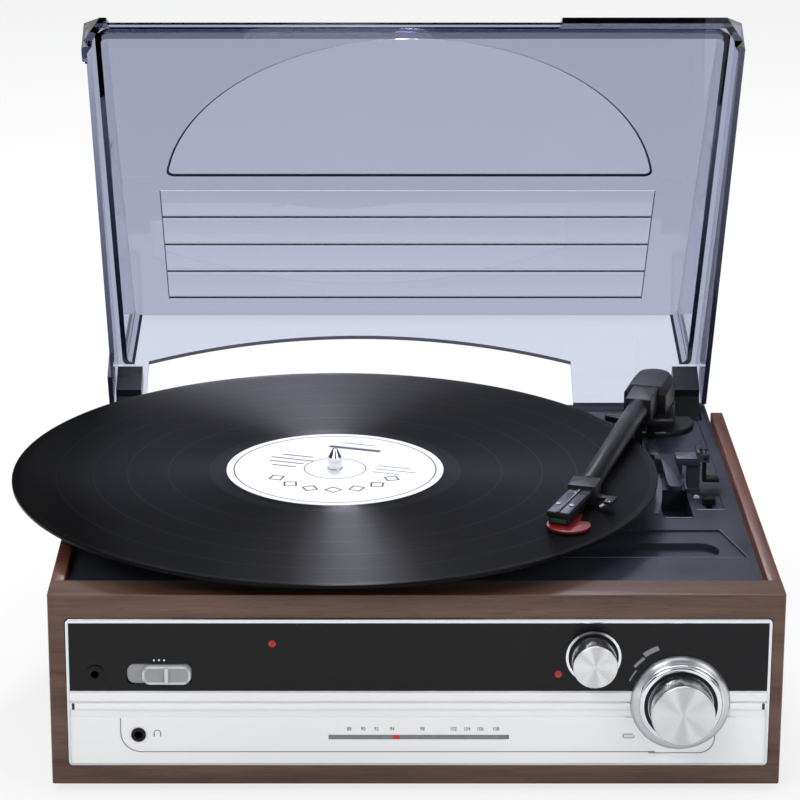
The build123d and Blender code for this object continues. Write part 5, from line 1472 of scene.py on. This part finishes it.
# %% Volume ring
RING_EDGES = ((21.6, 2.6), (18.2, 1.3))  # radius of the edge, and how wide it is rounded
RING_STEP = 18.9 * MM  # the polished step lies inside this radius


def off_axis(point, at):
    """Distance of a point from a knob's own line."""
    return math.hypot(point.x - at.x, point.z - at.z)


def is_ring_edge(edge, radius):
    """A sharp level edge at a radius of the ring's front."""
    middle = edge_middle(edge)
    near = abs(off_axis(middle, volume_at) - radius * MM) < 0.3 * MM and middle.y < panel_y - 2 * MM
    return near and edge.calc_face_angle(0) > 0.8 and abs(edge.verts[0].co.y - edge.verts[1].co.y) < 1e-6


ring = copy_solid("volume_bezel")
for radius, width in RING_EDGES:
    rims = pick(ring, lambda e: is_ring_edge(e, radius), "EDGE")
    bpy.ops.mesh.bevel(offset=width * MM, segments=6, affect="EDGES", clamp_overlap=False)
    print("ring edge at", radius, "had", rims, "edges")
leave()
hand_over(ring, "volume_ring", ring_silver, "cabinet", ("volume_bezel",), 50)
second_finish(ring, chrome, lambda f: off_axis(f.center, volume_at) < RING_STEP)

# %% [markdown]
# Between a knob and its ring is a gap, and a thin black ribbon paints the shade in it. The
# knob's face is turned metal and its side is polished: one mesh, with a second finish on the
# faces that look away from the front.

# %% Painted shade in the gaps, and turned knobs
# Black ribbons paint the shade in the gap round each knob.
for name, at, bezel, low, high in (
    ("volume_gap_shade", volume_at, "volume_bezel", 14.3, 16.0),
    ("tuning_gap_shade", tuning_at, "tuning_bezel", 9.95, 10.9),
):
    place = about_knob(at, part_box(bezel)[0].y)
    gap_shade_ring = ribbon((0, 0), low, high, 0, WHOLE_TURN, 0.1, 64, place)
    hand_over(gap_shade_ring, name, dark_plastic_and_shade, "cabinet", angle=60)

for name, finish, body in (
    ("volume_knob", volume_metal, "volume"),
    ("tuning_knob", tuning_metal, "tuning"),
):
    knob = copy_solid(name)
    hand_over(knob, name + "_turned", finish, body, (name,), 30)
    second_finish(knob, knob_side, lambda f: f.normal.y > -0.8)
    print(name, len(knob.data.polygons), "faces")

# %% [markdown]
# Each of the two lamps ends in a small dome. A ball is cut off just behind the panel's face,
# and the cut is filled, so that the dome is a closed shape.

# %% Lamps on the panel
DOME_RADIUS = 1.5
for name, slot_name in (("power_led", "red_lens"), ("radio_led", "clear_lens")):
    at = centre(name)
    bpy.ops.object.select_all(action="DESELECT")
    bpy.ops.mesh.primitive_uv_sphere_add(
        segments=24, ring_count=12, radius=DOME_RADIUS * MM, location=(at.x, panel_y + 0.9 * MM, at.z)
    )
    dome = settle(bpy.context.object)
    pick(dome, all_of_it, "VERT")
    bpy.ops.mesh.bisect(
        plane_co=(0, panel_y - 0.1 * MM, 0), plane_no=(0, 1, 0), clear_outer=True, use_fill=True
    )
    leave()
    hand_over(dome, name + "_dome", glow_red, "cabinet", angle=60)
    print(name, len(dome.data.polygons), "faces")

# %% [markdown]
# ## The tonearm
# Details on the arm turn with it, so they are drawn in two frames of its own. One stands under
# the pivot and looks along the tube. The other stands on the headshell, which points six
# degrees further inwards, as a real one does to follow the groove.

# %% Arm frames
arm_turn = math.degrees(math.atan2(-arm_ahead.x, -arm_ahead.y))
arm_place = Matrix.Translation((pivot_at.x, pivot_at.y, 0)) @ turn(-arm_turn)
shell_place = arm_place @ shift(-0.9, -174, 0) @ turn(-6)
print("arm turned by", round(arm_turn, 2), "degrees")

# %% [markdown]
# The arm is a hollow moulding with crisp bevels, a round tube and a boxy neck. Copies of the
# solids get small bevels, which catch the light along each edge, and so do the pieces that the
# arm works with: the lever and the pad that lift it, the rest, and the clip that holds it.

# %% Rounded arm parts
for name, finish, body, slot_name, width in (
    ("tonearm_housing", arm_plastic, "arm", "black_plastic", 0.5),
    ("tonearm_tube", arm_plastic, "arm", "black_plastic", 0.4),
    ("headshell", arm_plastic, "arm", "black_plastic", 0.25),
    ("cartridge", dark_plastic_and_shade, "arm", "black_plastic", 0.35),
    ("stylus", stylus_red, "arm", "red_lens", 0.2),
    ("cue_lever", lever_plastic, "cue_lever", "black_plastic", 0.35),
    ("cue_pad", dark_plastic_and_shade, "cue_pad", "black_plastic", 0.3),
    ("arm_clip", dark_plastic_and_shade, "arm_clip", "black_plastic", 0.3),
    ("arm_rest", deck_plastic, "cabinet", "charcoal_plastic", 0.35),
):
    part = copy_solid(name)
    round_edges(part, width, 2, 38)
    hand_over(part, name + "_rounded", finish, body, (name,), 32)
    print(name, len(part.data.polygons), "faces")

# %% [markdown]
# A boxy collar grips the tube where it enters the housing, and its top falls a little towards
# the headshell. On the base under the pivot, a curved grey strip is a painted highlight.

# %% Arm collar and a painted highlight on the base
COLLAR_Z = 99.7
collar = plate((0, -30.0), (13.0, 25.0), 1.0, 11.5, arm_place @ shift(0, 0, COLLAR_Z), 0.8)
to_arm = arm_place.inverted()
pick(collar, lambda v: (to_arm @ v.co).y < -38 * MM and v.co.z > 106 * MM, "VERT")
bpy.ops.transform.translate(value=(0, 0, -0.15 * MM))
leave()
hand_over(collar, "arm_collar", arm_plastic, "arm")
base_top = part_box("tonearm_base")[1].z / MM
pivot_xy = (pivot_at.x / MM, pivot_at.y / MM)
# A grey strip on the base: a painted highlight.
base_highlight = ribbon(pivot_xy, 18.9, 20.1, -118, 42, 0.2, 16, shift(0, 0, base_top - 0.18))
hand_over(base_highlight, "arm_base_painted_highlight", selector_grey_and_highlight, "cabinet", angle=60)
print("arm collar", len(collar.data.polygons), "faces")

# %% [markdown]
# The headshell has a plate of paler grey, and two small slotted screws go through it into the
# cartridge. One screw is made, a disc with a rounded rim and a dark plate on it that paints the
# shade in its slot, and copied.

# %% Headshell plate and screws
PLATE_TOP = 108.6
cover = plate((0, -19.5), (9.6, 26.0), 0.8, 0.16, shell_place @ shift(0, 0, PLATE_TOP), 0.08)
hand_over(cover, "headshell_plate", shell_grey, "arm")
head = disc((0, 0), 1.25, 0.55, shift(0, 0, 0.12), 0.2, 24)
head.data.materials.append(dull_steel)
# A dark plate on the head paints the shade in its slot.
slot_shade = plate((0, 0), (1.9, 0.35), 0.0, 0.1, shift(0, 0, 0.62))
slot_shade.data.materials.append(dark_plastic_and_shade)
screws = copies(join([head, slot_shade]), [shell_place @ shift(x, -22.0, PLATE_TOP) for x in (-3.1, 3.1)])
hand_over(join(screws), "cartridge_screws", None, "arm")
print("cartridge screws:", len(screws))

# %% [markdown]
# A green clip closes the front of the cartridge, and the finger lift ends in a bright wire
# that rises outwards, where a finger takes it.

# %% Clip and finger lift
CLIP_AT = (0, 104.4)
clip = plate(CLIP_AT, (7.6, 2.0), 0.4, 0.3, shell_place @ shift(0, -31.95, 0) @ FACE_FRONT, 0.1)
hand_over(clip, "cartridge_clip", cartridge_green, "arm")
tip = wire([(14.2, 104.6), (12.0, 103.6), (9.6, 102.0)], 0.6, shell_place @ shift(0, -0.6, 0) @ FACE_FRONT)
hand_over(tip, "finger_lift_tip", bright_plastic, "arm")
print("finger lift tip:", len(tip.data.polygons), "faces")

# %% [markdown]
# ## The deck
# The deck is one dark moulding with low relief. A raised band curves between the record and the
# cueing well, painted pale as a highlight; a thin dark line beside the right board is painted
# shade; and a small pale lip at the well is a painted highlight. Each is a thin plate or ribbon,
# sunk a hair into the deck so that no gap shows under it.

# %% Deck band and lines
BAND_CENTRE = (-175.2, 44.0)
BAND_FROM, BAND_TO = 292.6, 295.4  # radii
BAND_START, BAND_SWEEP = -11.0, 20.6  # degrees
SIDE_SHADE = (0.45, 84.0)
WELL_HIGHLIGHT_AT, WELL_HIGHLIGHT = (123.6, -17.6), (13.0, 0.9)
deck_place = shift(0, 0, deck_top / MM - 0.05)
# The band's pale colour is a painted highlight.
band = ribbon(BAND_CENTRE, BAND_FROM, BAND_TO, BAND_START, BAND_SWEEP, 0.5, 30, deck_place)
round_edges(band, 0.15, 2, 50)
hand_over(band, "deck_band_painted_highlight", deck_painted_highlight, "cabinet", angle=60)
# A dark line beside the right board: painted shade between deck and wood.
side_shade = plate((0, 0), SIDE_SHADE, 0.2, 0.2, deck_place @ shift(147.4, 89.0, 0) @ turn(0.9))
hand_over(side_shade, "deck_side_painted_shade", dark_plastic_and_shade, "cabinet")
# A pale plate at the well: a painted highlight.
well_highlight = plate(WELL_HIGHLIGHT_AT, WELL_HIGHLIGHT, 0.3, 0.55, deck_place, 0.15)
hand_over(well_highlight, "cue_well_painted_highlight", deck_painted_highlight, "cabinet")
print("deck band:", len(band.data.polygons), "faces")

# %% [markdown]
# A bright triangle stands in the deck beside the speed selector. It is a three-sided disc with a
# wall from Solidify, let into the deck for nearly all of its height.

# %% Speed triangle
TRIANGLE_X, TRIANGLE_Y = 134.7, 13.6
TRIANGLE_RADIUS, TRIANGLE_THICK = 1.6, 3.2
bpy.ops.object.select_all(action="DESELECT")
bpy.ops.mesh.primitive_circle_add(
    vertices=3, radius=TRIANGLE_RADIUS * MM, fill_type="NGON", location=(0, 0, 0)
)
triangle = settle(bpy.context.object)
modify(triangle, "SOLIDIFY", thickness=TRIANGLE_THICK * MM, offset=0)
settle(triangle, shift(TRIANGLE_X, TRIANGLE_Y, deck_top / MM - 1.5))
hand_over(triangle, "speed_triangle", bright_plastic, "cabinet")
print("arrow:", len(triangle.data.polygons), "faces")

# %% [markdown]
# The channel for the fingers in front of the record has pale lines along its edges: painted
# highlights. Two long plates follow its edges, one of them a little lower, and a bent wire runs
# up its right side. A shorter and taller pale plate in front of the speed selector is a painted
# highlight too.

# %% Painted highlights at the front of the deck
# Pale plates and a wire: painted highlights along the channel's edges.
highlight_lines = [
    plate((62.0, -68.75), (172.0, 0.5), 0.2, 0.22, deck_place, 0.1),
    plate((52.0, -67.5), (160.0, 0.5), 0.2, 0.22, deck_place @ shift(0, 0, -1.0), 0.1),
    wire([(149.7, -68.6), (145.2, -50.8), (140.7, -33.0)], 0.22, deck_place),
]
hand_over(join(highlight_lines), "channel_painted_highlights", deck_painted_highlight, "cabinet")
# A pale plate: a painted highlight in front of the speed selector.
speed_painted_highlight = plate((139.5, -6.6), (13.6, 1.3), 0.4, 0.5, deck_place, 0.15)
hand_over(speed_painted_highlight, "speed_painted_highlight", deck_painted_highlight, "cabinet")
print("channel lips:", len(highlight_lines))

# %% [markdown]
# ## The back
# Nobody sees the back at first, but it is worked the same way. Six screws hold the cover, each
# a rounded head with a dark cross on it that paints the shade in its recess: one is made, and
# copied to its places.

# %% Rear screws
SCREW_X, SCREW_Z = (-145, 0, 145), (11, 75)
back_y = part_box("rear_cover")[1].y
head = disc((0, 0), 2.8, 0.9, rim=0.35, sides=24)
head.data.materials.append(dull_steel)
# Dark plates on the head paint the shade in its cross.
cross = [plate((0, 0), size, 0.1, 0.08, shift(0, 0, 0.86)) for size in ((3.2, 0.7), (0.7, 3.2))]
for shade_plate in cross:
    shade_plate.data.materials.append(dark_plastic_and_shade)
screws = copies(join([head, *cross]), [on_back(back_y) @ shift(x, -z, 0) for x in SCREW_X for z in SCREW_Z])
hand_over(join(screws), "rear_screws", None, "cabinet")
print("rear screws:", len(screws))

# %% [markdown]
# Coloured collars mark the sockets: white and red for the two line outputs, and red and black
# for the speaker terminals. The moulded cover round them gets soft edges.

# %% Socket collars and rear cover
LINE_OUT, TERMINAL = (5.5, 7.2), (2.4, 5.0)  # the radii of a collar
SOCKET_Z = -38.0
socket_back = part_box("speaker_terminals")[1].y
for name, finish, x, (low, high) in (
    ("line_out_left_collar", socket_white, -69.0, LINE_OUT),
    ("line_out_right_collar", socket_red, -51.0, LINE_OUT),
    ("speaker_collar_a", dark_plastic_and_shade, 40.5, TERMINAL),
    ("speaker_collar_b", socket_red, 53.5, TERMINAL),
    ("speaker_collar_c", dark_plastic_and_shade, 66.5, TERMINAL),
    ("speaker_collar_d", socket_red, 79.5, TERMINAL),
):
    collar = ribbon((x, SOCKET_Z), low, high, 0, WHOLE_TURN, 0.35, 40, on_back(socket_back - 0.1 * MM))
    hand_over(collar, name, finish, "cabinet", angle=60)
cover_piece = copy_solid("rear_cover")
round_edges(cover_piece, 0.6, 2, 40)
hand_over(cover_piece, "rear_cover_rounded", rear_plastic, "cabinet", ("rear_cover",))
print("rear cover:", len(cover_piece.data.polygons), "faces")
